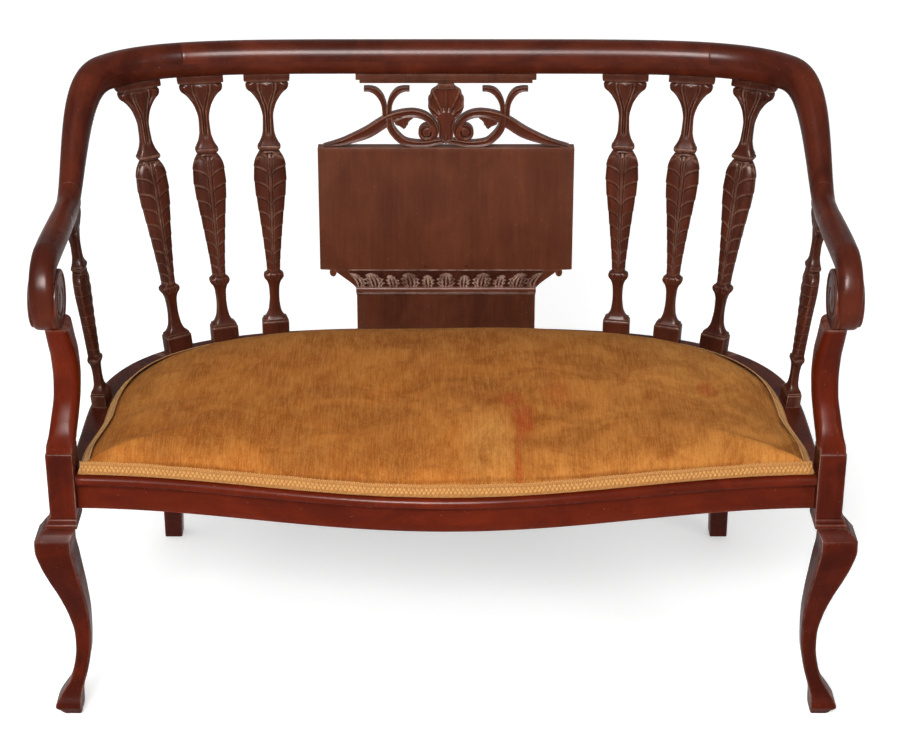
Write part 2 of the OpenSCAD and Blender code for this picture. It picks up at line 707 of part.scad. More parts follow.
// A flat ribbon along points that each carry a width
module ribbon(shares) {
    last = len(shares) - 1;
    flat = [for (s = shares) [s[0], s[1]]];
    along = [for (i = [0:last]) unit(flat[min(i + 1, last)] - flat[max(i - 1, 0)])];
    left = [for (i = [0:last]) flat[i] + [-along[i][1], along[i][0]]*shares[i][2]/2];
    right = [for (i = [last:-1:0]) flat[i] - [-along[i][1], along[i][0]]*shares[i][2]/2];
    polygon(concat(left, right));
}

module cresting_half() {
    ribbon(ribbon_shares);
    ribbon(band_shares);
    polygon(tip_leaf_shares);
    translate([eye_share[0], eye_share[1]]) circle(r = eye_share[2], $fn = 32);
    translate([bracket_mid_share, 0]) polygon(concat(bracket_shares,
        [for (i = [len(bracket_shares) - 2:-1:0]) [-bracket_shares[i][0], bracket_shares[i][1]]]));
    polygon([for (p = shell_shares) [-p[0], p[1]]]);
}

// The inner corners are as round as the fret saw leaves them
fret_round = cresting_t/10;

module splat_cresting() color(dark_mahogany) in_place() on_splat(cresting_t)
    translate([0, panel_high]) offset(r = -fret_round) offset(delta = fret_round)
        scale(cresting_h) union() {
            cresting_half();
            mirror([1, 0]) cresting_half();
        }

module splat_cap() color(mahogany) in_place() between_rails() {
    step = cap_h/3;
    low = splat_len - cap_h;
    on_splat(panel_t - step)
        translate([-cap_w/2 + step, low]) square([cap_w - 2*step, 2*step]);
    on_splat(panel_t)
        translate([-cap_w/2, low + step]) square([cap_w, cap_h - step + cut]);
}

// Seat

// Outline of the upholstery, grown outward by a distance, anticlockwise from the front left
seat_front_steps = 14;
seat_side_steps = 4;
seat_back_steps = 18;

function seat_edge_x(y, grow) = grow + mix(seat_front_half, seat_half,
    smooth((y - rail_turn_reach/3)/(rail_turn_reach*0.75)));
function seat_outline(grow) = concat(
    [for (i = [0:seat_front_steps])
        let (x = mix(-1, 1, i/seat_front_steps)*(seat_front_half + grow))
        [x, front_face_y(x) + seat_front_y - front_face_set - grow]],
    [for (i = [1:seat_side_steps]) let (y = rail_turn_reach*i/(seat_side_steps + 1))
        [seat_edge_x(y, grow), y]],
    [for (i = [0:seat_back_steps])
        rail_plan(seat_rear_ledge - grow, 180*i/seat_back_steps)],
    [for (i = [seat_side_steps:-1:1]) let (y = rail_turn_reach*i/(seat_side_steps + 1))
        [-seat_edge_x(y, grow), y]]);

seat_mid = [0, (rail_back_reach - seat_rear_ledge + seat_front_y - front_bow)/2];

// Rings of the domed seat: a share of the outline and the height over the rails
drawn_in_share = 0.997;
crown_shares = [[0.985, 0.20], [0.955, 0.44], [0.90, 0.64], [0.80, 0.82], [0.62, 0.95],
    [0.36, 0.99]];

function seat_ring(grow, share, level) = [for (p = seat_outline(grow))
    let (q = seat_mid + (p - seat_mid)*share) [q[0], q[1], level]];
function dome(grow, foot, edge, crown) = concat(
    [seat_ring(grow, drawn_in_share, foot), seat_ring(grow, 1, mix(foot, edge, 0.6)),
        seat_ring(grow, drawn_in_share, edge)],
    [for (row = crown_shares) seat_ring(grow, row[0], edge + crown*row[1])]);

cover_edge = seat_rail_h + seat_edge_h;
under_stuffing = seat_rail_h + strap_t + hessian_t;
stuffing_grow = -cover_t - gap;

lining_edge = cover_edge - cover_t/2;
lining_crown = seat_crown - cover_t/2;

function dome_top(edge, crown) = [seat_mid[0], seat_mid[1], edge + crown];

module seat_cover() color(velvet) in_place()
    loft_shell(dome(0, seat_rail_h, cover_edge, seat_crown), dome_top(cover_edge, seat_crown),
        dome(-cover_t, seat_rail_h, lining_edge, lining_crown),
        dome_top(lining_edge, lining_crown));

module seat_stuffing() color(linen) in_place()
    loft_cap(dome(stuffing_grow, under_stuffing, lining_edge - gap, lining_crown - gap),
        dome_top(lining_edge - gap, lining_crown - gap));

module gimp_braid() color(braid_gold) in_place() translate([0, 0, seat_rail_h])
    linear_extrude(braid_h) difference() {
        polygon(seat_outline(gap*2 + braid_t));
        polygon(seat_outline(gap*2));
    }

// Webbing: straps from front to back and from side to side, lying on the rails
straps_across = 7;
straps_along = 4;

module webbing() color(linen) in_place() translate([0, 0, seat_rail_h])
    linear_extrude(strap_t) intersection() {
        polygon(seat_outline(stuffing_grow - braid_t));
        union() {
            for (i = [0:straps_across - 1])
                translate([-strap_w/2 + (i - (straps_across - 1)/2)*2*seat_half/straps_across,
                    -rail_back_reach]) square([strap_w, 2*rail_back_reach]);
            for (i = [0:straps_along - 1])
                translate([-rail_half, (i + 0.5)*rail_back_reach/(straps_along + 0.5) - front_bow/2])
                    square([2*rail_half, strap_w]);
        }
    }

module hessian_cloth() color(linen) in_place() translate([0, 0, seat_rail_h + strap_t])
    linear_extrude(hessian_t) polygon(seat_outline(stuffing_grow - braid_t/2));

// The dust cover is tacked under the rails and cut round the rear legs
leg_notch = rear_leg_top_w + 4*gap;

function dust_outline() = concat(
    [for (i = [0:seat_front_steps])
        let (x = mix(-1, 1, i/seat_front_steps)*(block_inner_x - gap*2))
        [x, front_face_y(x) + nose_out/2]],
    [[rail_half - rail_t/2, block_back + gap*2]],
    [for (i = [0:seat_back_steps]) rail_plan(rail_t/2, 180*i/seat_back_steps)],
    [[rail_t/2 - rail_half, block_back + gap*2]]);

module dust_cover() color(black_cloth) in_place()
    translate([0, 0, rail_under_h - hessian_t]) linear_extrude(hessian_t) difference() {
        polygon(dust_outline());
        for (side = [-1, 1]) translate([side*rear_leg_top_x, rear_leg_top_y])
            square(leg_notch, center = true);
    }

// Front glue blocks: triangles between the side rails and the front rail's straight ends
block_corner_x = rail_half - rail_t;
glue_block_low = rail_under_h + (rail_height - glue_block_h)/2;
screw_shares = [0.3, 0.7];
screw_len_share = 0.4;
screw_head_h = screw_head_d/3;

// The places of a glue block's screws on its long face, with Z pointing into the block
module at_block_screws() for (share = screw_shares)
    translate([glue_block_leg*share - block_corner_x, block_back + glue_block_leg*(1 - share),
        glue_block_low + glue_block_h/2]) rotate([90, 0, -45]) children();

module front_glue_block_shape() difference() {
    translate([-block_corner_x, block_back, glue_block_low]) linear_extrude(glue_block_h)
        polygon([[0, 0], [glue_block_leg, 0], [0, glue_block_leg]]);
    at_block_screws()
        cylinder(d = screw_d + 2*gap, h = 2*glue_block_leg, center = true, $fn = 32);
}

module screw(length) {
    cylinder(d = screw_d, h = length, $fn = 24);
    translate([0, 0, -screw_head_h]) cylinder(d = screw_head_d, h = screw_head_h, $fn = 32);
}

module glue_block_screws() color(steel) in_place()
    for (side = [0, 1]) mirror([side, 0, 0])
        at_block_screws() screw(glue_block_leg*screw_len_share);

// Cross rail from the front rail to the back rail, below the webbing
cross_low = seat_rail_h - cross_rail_h - rail_round;
cross_front_y = front_back_y(cross_rail_w/2) + gap;
cross_back_y = rail_plan_at_x(rail_t, cross_rail_w/2)[1] - gap;

module cross_rail() color(mahogany) in_place()
    translate([-cross_rail_w/2, cross_front_y, cross_low])
        cube([cross_rail_w, cross_back_y - cross_front_y, cross_rail_h]);

// The pieces of the left side, and the same pieces mirrored to the right

module crest_rail() color(mahogany) in_place() crest_rail_shape();
module left_shoulder_rail() color(mahogany) in_place() mirrored(false) shoulder_shape();
module right_shoulder_rail() color(mahogany) in_place() mirrored(true) shoulder_shape();
module left_arm() color(mahogany) in_place() mirrored(false) arm_shape();
module right_arm() color(mahogany) in_place() mirrored(true) arm_shape();
module left_arm_support() color(mahogany) in_place() mirrored(false) arm_support_shape();
module right_arm_support() color(mahogany) in_place() mirrored(true) arm_support_shape();
module left_front_leg() color(mahogany) in_place() mirrored(false) front_leg_shape();
module right_front_leg() color(mahogany) in_place() mirrored(true) front_leg_shape();
module left_rear_leg() color(mahogany) in_place() mirrored(false) rear_leg_shape();
module right_rear_leg() color(mahogany) in_place() mirrored(true) rear_leg_shape();
module left_side_rail() color(mahogany) in_place() mirrored(false) side_rail_shape();
module right_side_rail() color(mahogany) in_place() mirrored(true) side_rail_shape();
module left_outer_baluster() color(dark_mahogany) in_place() mirrored(false)
    back_baluster(outer_baluster_x, outer_head_share);
module right_outer_baluster() color(dark_mahogany) in_place() mirrored(true)
    back_baluster(outer_baluster_x, outer_head_share);
module left_middle_baluster() color(dark_mahogany) in_place() mirrored(false)
    back_baluster(middle_baluster_x, middle_head_share);
module right_middle_baluster() color(dark_mahogany) in_place() mirrored(true)
    back_baluster(middle_baluster_x, middle_head_share);
module left_inner_baluster() color(dark_mahogany) in_place() mirrored(false)
    back_baluster(inner_baluster_x, inner_head_share);
module right_inner_baluster() color(dark_mahogany) in_place() mirrored(true)
    back_baluster(inner_baluster_x, inner_head_share);
module left_side_baluster() color(dark_mahogany) in_place() mirrored(false) side_baluster_shape();
module right_side_baluster() color(dark_mahogany) in_place() mirrored(true) side_baluster_shape();
module left_front_glue_block() color(dark_mahogany) in_place() mirrored(false) front_glue_block_shape();
module right_front_glue_block() color(dark_mahogany) in_place() mirrored(true) front_glue_block_shape();

crest_rail();
left_shoulder_rail();
right_shoulder_rail();
left_arm();
right_arm();
left_arm_support();
right_arm_support();
left_front_leg();
right_front_leg();
left_rear_leg();
right_rear_leg();
front_seat_rail();
left_side_rail();
right_side_rail();
back_seat_rail();
left_outer_baluster();
right_outer_baluster();
left_middle_baluster();
right_middle_baluster();
left_inner_baluster();
right_inner_baluster();
left_side_baluster();
right_side_baluster();
splat_panel();
splat_stem();
splat_leaf_moulding();
splat_cresting();
splat_cap();
seat_cover();
seat_stuffing();
gimp_braid();
webbing();
hessian_cloth();
dust_cover();
left_front_glue_block();
right_front_glue_block();
glue_block_screws();
cross_rail();
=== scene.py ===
"""Looks of an open-back settee: polished mahogany show-wood with carved balusters and splat,
and a domed velvet seat with a gimp braid.

Shapes are worked out in millimetres in the drawing's frame, whose Y is zero on the line of
the front legs. The last step of every piece sets it in metres about the settee's middle.
"""

import json
import logging
import math
from dataclasses import dataclass
from enum import Enum
from typing import Callable, Sequence, Union

import bmesh
import bpy
import numpy as np
from mathutils import Matrix, Vector
from mathutils.kdtree import KDTree

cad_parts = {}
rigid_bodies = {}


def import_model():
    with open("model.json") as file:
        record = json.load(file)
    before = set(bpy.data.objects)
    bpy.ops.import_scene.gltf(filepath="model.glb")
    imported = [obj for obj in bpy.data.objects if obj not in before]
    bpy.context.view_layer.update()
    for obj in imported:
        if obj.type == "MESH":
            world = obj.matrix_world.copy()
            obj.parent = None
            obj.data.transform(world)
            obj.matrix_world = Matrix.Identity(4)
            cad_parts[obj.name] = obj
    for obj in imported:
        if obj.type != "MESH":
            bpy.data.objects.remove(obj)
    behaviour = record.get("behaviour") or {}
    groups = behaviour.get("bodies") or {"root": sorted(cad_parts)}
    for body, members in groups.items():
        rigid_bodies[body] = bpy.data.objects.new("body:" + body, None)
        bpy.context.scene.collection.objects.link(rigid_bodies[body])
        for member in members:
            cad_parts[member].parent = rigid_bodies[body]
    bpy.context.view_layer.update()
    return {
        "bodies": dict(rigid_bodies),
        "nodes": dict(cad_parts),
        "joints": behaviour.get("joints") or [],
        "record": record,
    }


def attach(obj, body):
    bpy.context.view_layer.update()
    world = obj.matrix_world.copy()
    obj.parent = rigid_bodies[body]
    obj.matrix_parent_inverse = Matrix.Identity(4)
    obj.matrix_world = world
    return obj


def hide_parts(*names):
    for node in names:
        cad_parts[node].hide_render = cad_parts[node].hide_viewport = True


log = logging.getLogger("settee")

Array = np.ndarray
Mesh = bmesh.types.BMesh
Piece = bpy.types.Object
Material = bpy.types.Material
Tree = bpy.types.NodeTree
Node = bpy.types.Node
Socket = bpy.types.NodeSocket
Value = Union[Socket, float, tuple[float, ...]]
Triple = tuple[float, float, float]
Spot = tuple[float, float, float, float, float]
Colour = tuple[float, float, float, float]
MM = 0.001
TAU = 2 * math.pi


# Curves and sections


def smooth(u: Array) -> Array:
    """Ease a share from 0 to 1.

    Args:
        u: Shares, of any value.

    Returns:
        The eased shares, between 0 and 1.
    """
    c = np.clip(u, 0.0, 1.0)
    return c * c * (3 - 2 * c)


def mix(a: Array, b: Array, u: Array) -> Array:
    """Return the values that lie a share u of the way from a to b."""
    return a + (b - a) * u


def unit(v: Array) -> Array:
    """Return vectors of length one along v's last axis."""
    return v / np.linalg.norm(v, axis=-1, keepdims=True)


def bump(x: Array, centre: float, width: float) -> Array:
    """Return a soft hump of height one around a centre."""
    return np.exp(-(((x - centre) / width) ** 2))


def signed_power(v: Array, e: Array) -> Array:
    """Return |v| to the power e with v's sign."""
    return np.sign(v) * np.abs(v) ** e


def xyz(*parts: Array | float) -> Array:
    """Gather the parts of points, spread to one shape, along a new last axis."""
    return np.stack(np.broadcast_arrays(*parts), axis=-1)


def lengths(line: Array) -> Array:
    """Return the distances along a line from its first point to each."""
    steps = np.linalg.norm(np.diff(line, axis=0), axis=1)
    return np.concatenate([[0], np.cumsum(steps)])


def spaced(curve: Array, steps: int) -> Array:
    """Space a curve's rows evenly along it; columns after the first two are carried over.

    Args:
        curve: The curve's rows.
        steps: The number of steps along it.

    Returns:
        The rows, evenly spaced.
    """
    run = lengths(curve[:, :2])
    even = np.linspace(0, run[-1], steps + 1)
    return np.stack([np.interp(even, run, column) for column in curve.T], axis=1)


def evened(line: Array, times: int) -> Array:
    """Smooth the rows of a closed line, whose last row is its first again.

    Args:
        line: The line's rows.
        times: How many times it is smoothed.

    Returns:
        The smoothed rows.
    """
    for _ in range(times):
        ring = line[:-1]
        ring = (np.roll(ring, 1, 0) + 2 * ring + np.roll(ring, -1, 0)) / 4
        line = np.concatenate([ring, ring[:1]])
    return line


def hand(right: bool) -> str:
    """Name a side of the settee."""
    return "right" if right else "left"


def oval_point(a: Array, b: Array, n: float, angle: Array) -> Array:
    """Find points of a superellipse.

    Args:
        a: Half width.
        b: Half depth.
        n: Fullness, where 2 is an ellipse.
        angle: Directions from +X, in degrees.

    Returns:
        The points, with X and Y along the last axis.
    """
    c, s = np.cos(np.radians(angle)), np.sin(np.radians(angle))
    r = 1 / ((np.abs(c) / a) ** n + (np.abs(s) / b) ** n) ** (1 / n)
    return xyz(r * c, r * s)


def oval_y(a: float, b: float, n: float, x: Array) -> Array:
    """Find how far back a superellipse reaches at places across it."""
    return b * (1 - (np.abs(x) / a) ** n) ** (1 / n)


def oval_slope(a: float, b: float, n: float, x: Array) -> Array:
    """Find how steeply a superellipse's rear outline falls at places across it."""
    return np.sign(x) * (b / a) ** n * (np.abs(x) / oval_y(a, b, n, x)) ** (n - 1)


@dataclass(frozen=True)
class Profile:
    """A table of shares with a smooth curve through each of its columns."""

    rows: tuple[tuple[float, ...], ...]

    def at(self, u: Array, column: int) -> Array:
        """Read one column along the curve.

        Args:
            u: Places along the first column.
            column: The column to read.

        Returns:
            The values at those places.
        """
        table = np.array(self.rows, float)
        x, y = table[:, 0], table[:, column]
        h = np.diff(x)
        d = np.diff(y) / h
        slope = np.zeros_like(y)
        slope[0], slope[-1] = d[0], d[-1]
        rising = d[:-1] * d[1:] > 0
        w1, w2 = 2 * h[1:] + h[:-1], h[1:] + 2 * h[:-1]
        safe_a = np.where(rising, d[:-1], 1.0)
        safe_b = np.where(rising, d[1:], 1.0)
        slope[1:-1] = np.where(rising, (w1 + w2) / (w1 / safe_a + w2 / safe_b), 0.0)
        i = np.clip(np.searchsorted(x, u, side="right") - 1, 0, len(x) - 2)
        t = np.clip((u - x[i]) / h[i], 0, 1)
        return (
            y[i] * (1 + 2 * t) * (1 - t) ** 2
            + slope[i] * h[i] * t * (1 - t) ** 2
            + y[i + 1] * t * t * (3 - 2 * t)
            + slope[i + 1] * h[i] * t * t * (t - 1)
        )


def through(points: Array, steps: int) -> Array:
    """Draw an even curve through points.

    Args:
        points: The points, one a row; columns after the place may hold widths.
        steps: The number of steps along the curve.

    Returns:
        The rows of the curve, spaced evenly along it.
    """
    p = np.vstack([2 * points[0] - points[1], points, 2 * points[-1] - points[-2]])
    fine = []
    for i in range(1, len(p) - 2):
        a, b, c, d = p[i - 1 : i + 3]
        for t in np.linspace(0, 1, 24, endpoint=False):
            cubic = (2 * a - 5 * b + 4 * c - d) * t**2 + (3 * b - a - 3 * c + d) * t**3
            fine.append(0.5 * (2 * b + (c - a) * t + cubic))
    return spaced(np.array([*fine, points[-1]]), steps)


def end_rows(count: int, length: float, edge: float) -> tuple[Array, Array]:
    """Space rows along a length, with close rows where its ends are rounded.

    Args:
        count: The number of rows less one.
        length: The whole length.
        edge: The radius of the rounding at each end.

    Returns:
        The rows' distances from the start, and how far each is drawn in by the rounding.
    """
    marks = [0, 1, 2, 3, count - 3, count - 2, count - 1, count]
    places = [0, 0.13 * edge, 0.5 * edge, edge]
    places += [length - edge, length - 0.5 * edge, length - 0.13 * edge, length]
    s = np.interp(np.arange(count + 1), marks, places)
    near = np.clip(edge - np.minimum(s, length - s), 0, edge)
    return s, edge - np.sqrt(edge * edge - near * near)


def round_ring(count: int, fullness: Array, planed: float = 1.0) -> tuple[Array, Array]:
    """Find the shares of a full section around which a rail is shaped.

    Args:
        count: The number of columns around it.
        fullness: The section's fullness, one value or one a row.
        planed: The share of the half height at which the underside is planed flat.

    Returns:
        The shares of the half width and of the half height.
    """
    angle = TAU * np.arange(count + 1) / count
    power = 2 / np.asarray(fullness, float)[..., None]
    across = signed_power(np.cos(angle), power)
    up = signed_power(np.sin(angle), power)
    return across, np.maximum(up, -planed)


def box_ring(arc: int, flat: int) -> Array:
    """List the corner-rounded ring of a squared member as shares of its sizes.

    Args:
        arc: Steps round each corner.
        flat: Steps along each flat.

    Returns:
        Rows of shares of half width, half depth, and of the corner's radius along each.
    """
    ring: list[list[float]] = []
    for sx, sy, start in ((1, -1, -90), (1, 1, 0), (-1, 1, 90), (-1, -1, 180)):
        for k in range(arc + 1):
            phi = math.radians(start + 90 * k / arc)
            ring.append([sx, sy, math.cos(phi) - sx, math.sin(phi) - sy])
    rows = np.array(ring + [ring[0]])
    out: list[Array] = []
    for i in range(len(rows) - 1):
        is_flat = (i + 1) % (arc + 1) == 0
        parts = flat if is_flat else 1
        out += [mix(rows[i], rows[i + 1], k / parts) for k in range(parts)]
    out.append(rows[-1])
    return np.array(out)


def box_sections(ring: Array, wide: Array, deep: Array, radius: Array) -> tuple[Array, Array]:
    """Size a squared ring for each row of a member.

    Args:
        ring: The ring from box_ring.
        wide: Full widths, one a row.
        deep: Full depths, one a row.
        radius: Corner radii, one a row.

    Returns:
        The points across and deep, each with a row for every section.
    """
    w, d, r = (np.asarray(v, float)[:, None] for v in (wide, deep, radius))
    return ring[:, 0] * w / 2 + ring[:, 2] * r, ring[:, 1] * d / 2 + ring[:, 3] * r


# Meshes


def loft(
    points: Array, caps: bool = True, marks: dict[str, Array] | None = None,
    grain_map: Array | None = None,
) -> Mesh:
    """Lay a grid over rows of points and close it where its ends meet.

    Args:
        points: The places of the grid's corners, by row along and column around.
        caps: Whether open ends are closed.
        marks: Shares by corner of extra wear ("worn") or shade ("sunk").
        grain_map: The grain's place at each corner in metres, where it isn't the grid's own.

    Returns:
        The mesh in millimetres, with a grain map in metres across and along.
    """
    rows, columns = points.shape[0] - 1, points.shape[1] - 1
    bm = bmesh.new()
    bmesh.ops.create_grid(bm, x_segments=columns, y_segments=rows, size=1.0)
    bm.verts.ensure_lookup_table()
    place = [
        (round((v.co.y + 1) / 2 * rows), round((v.co.x + 1) / 2 * columns)) for v in bm.verts
    ]
    across = np.linalg.norm(np.diff(points, axis=1), axis=2).mean(axis=0)
    along = np.linalg.norm(np.diff(points, axis=0), axis=2).mean(axis=1)
    across = np.concatenate([[0], np.cumsum(across)]) * MM
    along = np.concatenate([[0], np.cumsum(along)]) * MM
    grain = bm.loops.layers.uv.new("grain")
    for face in bm.faces:
        for corner in face.loops:
            row, column = place[corner.vert.index]
            own = (across[column], along[row])
            corner[grain].uv = own if grain_map is None else grain_map[row, column]
    for label, shares in (marks or {}).items():
        layer = bm.verts.layers.float.new(label)
        shares = np.broadcast_to(shares, points.shape[:2])
        for vert, (row, column) in zip(bm.verts, place):
            vert[layer] = float(shares[row, column])
    for vert, (row, column) in zip(bm.verts, place):
        vert.co = points[row, column]
    bmesh.ops.remove_doubles(bm, verts=bm.verts, dist=0.002)
    if caps:
        bmesh.ops.holes_fill(bm, edges=[e for e in bm.edges if e.is_boundary], sides=0)
    bmesh.ops.recalc_face_normals(bm, faces=bm.faces)
    return bm


def join(parts: Sequence[Mesh]) -> Mesh:
    """Gather several meshes into the first of them, and free the others.

    Args:
        parts: The meshes.

    Returns:
        The first mesh, with all of them in it.
    """
    first = parts[0]
    for part in parts[1:]:
        scratch = bpy.data.meshes.new("scratch")
        part.to_mesh(scratch)
        first.from_mesh(scratch)
        bpy.data.meshes.remove(scratch)
        part.free()
    return first


def edge_marks(bm: Mesh, reach: int = 1) -> tuple[Array, Array]:
    """Find where hands rub a surface bright, and the inner corners painted darker with grime and
    shade.

    Args:
        bm: The mesh, in millimetres.
        reach: How many times the marks spread to their neighbours.

    Returns:
        Shares of sharp outer edges and of sharp inner corners, one a vertex.
    """
    bm.faces.index_update()
    bm.verts.index_update()
    areas = [f.calc_area() for f in bm.faces]
    rub, hollow = np.zeros(len(bm.verts)), np.zeros(len(bm.verts))
    near = np.array([[e.verts[0].index, e.verts[1].index] for e in bm.edges])
    for edge in bm.edges:
        if len(edge.link_faces) != 2:
            continue
        long = max(edge.calc_length(), 1e-4)
        a, b = (areas[f.index] for f in edge.link_faces)
        wide = min(max((a + b) / (2 * long), 0.15), 2.5)
        bend = edge.calc_face_angle_signed(0.0) / wide
        for vert in edge.verts:
            if bend > 0:
                rub[vert.index] = max(rub[vert.index], bend)
            else:
                hollow[vert.index] = max(hollow[vert.index], -bend)
    rub = np.clip((rub - 0.17) / 0.5, 0, 1)
    hollow = np.clip((hollow - 0.1) / 0.5, 0, 1)
    for _ in range(reach):
        for marks in (rub, hollow):
            total, count = np.zeros_like(marks), np.zeros_like(marks)
            for i, j in ((0, 1), (1, 0)):
                np.add.at(total, near[:, i], marks[near[:, j]])
                np.add.at(count, near[:, i], 1)
            marks[:] = 0.62 * marks + 0.38 * total / np.maximum(count, 1)
    return rub, hollow


def settle(
    bm: Mesh, name: str, material: Material, mirrored: bool = False,
    tone: float = 0.5, sharp: float = 40.0, reach: int = 1, rubbed: float = 1.0,
    node: str | None = None,
) -> Piece:
    """Set a finished mesh in the settee and dress it.

    Args:
        bm: The mesh, in millimetres in the drawing's frame. It is freed.
        name: The piece's name, which is its solid's with the stuff that it is made of.
        material: Its finish.
        mirrored: Whether a left piece is turned into its right partner.
        tone: Where its timber lies between dark and light.
        sharp: The angle in degrees over which an edge is shaded sharp.
        reach: How far the marks of wear and of painted shade spread.
        rubbed: The share of the edges' wear that shows.
        node: The solid that it stands for, where the name doesn't give it; "" for none.

    Returns:
        The piece.
    """
    rub, hollow = edge_marks(bm, reach)
    rub *= rubbed
    for label, found in (("worn", rub), ("sunk", hollow)):
        layer = bm.verts.layers.float.get(label)
        if layer is not None:
            np.maximum(found, [vert[layer] for vert in bm.verts], out=found)
            bm.verts.layers.float.remove(layer)
    place = Matrix.Translation((0, -Plan.mid_y * MM, 0)) @ Matrix.Scale(MM, 4)
    bmesh.ops.transform(bm, matrix=place, verts=bm.verts)
    if mirrored:
        bmesh.ops.scale(bm, vec=(-1, 1, 1), verts=bm.verts)
        bmesh.ops.reverse_faces(bm, faces=bm.faces)
    mesh = bpy.data.meshes.new(name)
    bm.to_mesh(mesh)
    bm.free()
    for label, values in (("rub", rub), ("hollow", hollow), ("tone", np.full(len(rub), tone))):
        marks = mesh.attributes.new(label, "FLOAT", "POINT")
        marks.data.foreach_set("value", values.astype(np.float32))
    mesh.shade_smooth()
    mesh.set_sharp_from_angle(angle=math.radians(sharp))
    mesh.materials.append(material)
    piece = bpy.data.objects.new(name, mesh)
    bpy.context.scene.collection.objects.link(piece)
    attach(piece, "root")
    if node is None:
        node = name.rpartition("_")[0]
    if node:
        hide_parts(node)
    log.info("%s: %d faces", name, len(mesh.polygons))
    return piece


# The settee's shared plan


@dataclass(frozen=True)
class Plan:
    """The sizes that several pieces share, in millimetres."""

    mid_y: float = 224.5
    planed: float = 0.85
    crest_mid: float = 828.0
    leg_half: float = 527.5
    rear_foot_reach: float = 526.0
    rail_top: float = 388.0
    rail_height: float = 56.0
    rail_t: float = 58.0
    rail_back: float = 485.0
    rail_turn: float = 150.0
    rail_fullness: float = 3.0
    side_rail_set: float = 6.0
    front_bow: float = 66.0
    front_set: float = 3.0
    nose_out: float = 14.0
    nose_h: float = 15.0
    rail_round: float = 6.0
    block_w: float = 37.0
    block_d: float = 44.0
    block_front: float = 18.0
    block_h: float = 95.0
    crest_half: float = 531.0
    crest_back: float = 490.0
    crest_turn: float = 160.0
    crest_fullness: float = 5.0
    crest_h: float = 52.0
    crest_d: float = 45.0
    arm_mid: float = 696.0
    arm_h: float = 45.0
    sweep_w: float = 30.0
    sweep_front: float = 198.0
    sweep_back: float = 411.0
    baluster_set: float = 16.0

    @property
    def rail_low(self) -> float:
        """Height of the seat rails' underside."""
        return self.rail_top - self.rail_height

    @property
    def rail_half(self) -> float:
        """Half the width over the side rails."""
        return self.leg_half - self.side_rail_set

    @property
    def block_inner(self) -> float:
        """Distance of the leg blocks' inner faces from the middle."""
        return self.leg_half - self.block_w / 2

    @property
    def block_back(self) -> float:
        """Distance of the leg blocks' rear faces behind the front leg line."""
        return self.block_d - self.block_front

    @property
    def joint_h(self) -> float:
        """Height at which the leg blocks meet the arm supports."""
        return self.rail_low + self.block_h

    def rail_oval(self, inset: Array) -> tuple[Array, Array, float]:
        """Return the half width, depth and fullness of the seat frame's plan, set in."""
        depth = self.rail_back - self.rail_turn - inset
        return self.rail_half - inset, depth, self.rail_fullness

    def rail_plan(self, inset: Array, angle: Array) -> Array:
        """Find plan points of the seat frame, set inside its outer face."""
        return oval_point(*self.rail_oval(inset), angle) + np.array([0, self.rail_turn])

    def rail_y(self, inset: float, x: Array) -> Array:
        """Find how far back the seat frame reaches at places across it."""
        return self.rail_turn + oval_y(*self.rail_oval(inset), x)

    def rail_middle(self, x: Array) -> Array:
        """Find how far back the middle line of the seat frame's timber is."""
        return self.rail_y(self.rail_t / 2, x)

    def rail_angle(self, inset: float, x: float) -> float:
        """Find the turn of the seat frame's outline at a place across it, in degrees."""
        return -math.degrees(math.atan(oval_slope(*self.rail_oval(inset), x)))

    def front_y(self, x: Array) -> Array:
        """Find the front rail's face at places across it."""
        return self.front_set - self.front_bow * np.cos(np.pi / 2 * x / self.leg_half) ** 2

    @property
    def crest_oval(self) -> Triple:
        """The half width, depth and fullness of the crest rail's plan."""
        return self.crest_half, self.crest_back - self.crest_turn, self.crest_fullness

    def crest_share(self, y: Array) -> Array:
        """Find how far the rail has climbed from the arm to the crest."""
        return smooth((y - self.sweep_front) / (self.sweep_back - self.sweep_front))

    def crest_level(self, y: Array) -> Array:
        """Find the height of the rail's centre line."""
        return mix(self.arm_mid, self.crest_mid, self.crest_share(y))

    def crest_point(self, angle: Array) -> Array:
        """Find points of the rail's centre line."""
        x, y = np.moveaxis(oval_point(*self.crest_oval, angle), -1, 0)
        return xyz(x, y + self.crest_turn, self.crest_level(y + self.crest_turn))

    def crest_y(self, x: Array) -> Array:
        """Find how far back the crest's centre line is at places across it."""
        return self.crest_turn + oval_y(*self.crest_oval, x)

    def crest_angle(self, x: float) -> float:
        """Find the turn of the crest's centre line at a place across it, in degrees."""
        return -math.degrees(math.atan(oval_slope(*self.crest_oval, x)))

    def slope(self, y: Array) -> Array:
        """Find the tangent of the rail's climb."""
        return (self.crest_level(y + 2) - self.crest_level(y - 2)) / 4

    def half_depth(self, y: Array) -> Array:
        """Find the distance from the rail's centre line to its planed underside."""
        return self.planed * mix(self.arm_h, self.crest_h, self.crest_share(y)) / 2

    def arm_under(self, y: Array) -> Array:
        """Find the height of the arm's underside.

        Args:
            y: Places behind the front leg line.

        Returns:
            Heights of its underside.
        """
        lean = np.arctan(self.slope(y))
        first = y - self.half_depth(y) * np.sin(lean)
        p = y - self.half_depth(first) * np.sin(lean)
        return self.crest_level(p) - self.half_depth(p) * np.cos(np.arctan(self.slope(p)))

    def crest_under(self, x: Array) -> Array:
        """Find the height of the crest's underside over places on its centre line.

        Args:
            x: Places across the settee.

        Returns:
            Heights of its underside.
        """
        y = self.crest_y(x)
        turn = np.arctan(oval_slope(*self.crest_oval, np.abs(x)))
        tilt = np.arctan(self.slope(y) * np.sin(turn))
        return self.crest_level(y) - self.half_depth(y) / np.cos(tilt)


# Finishes


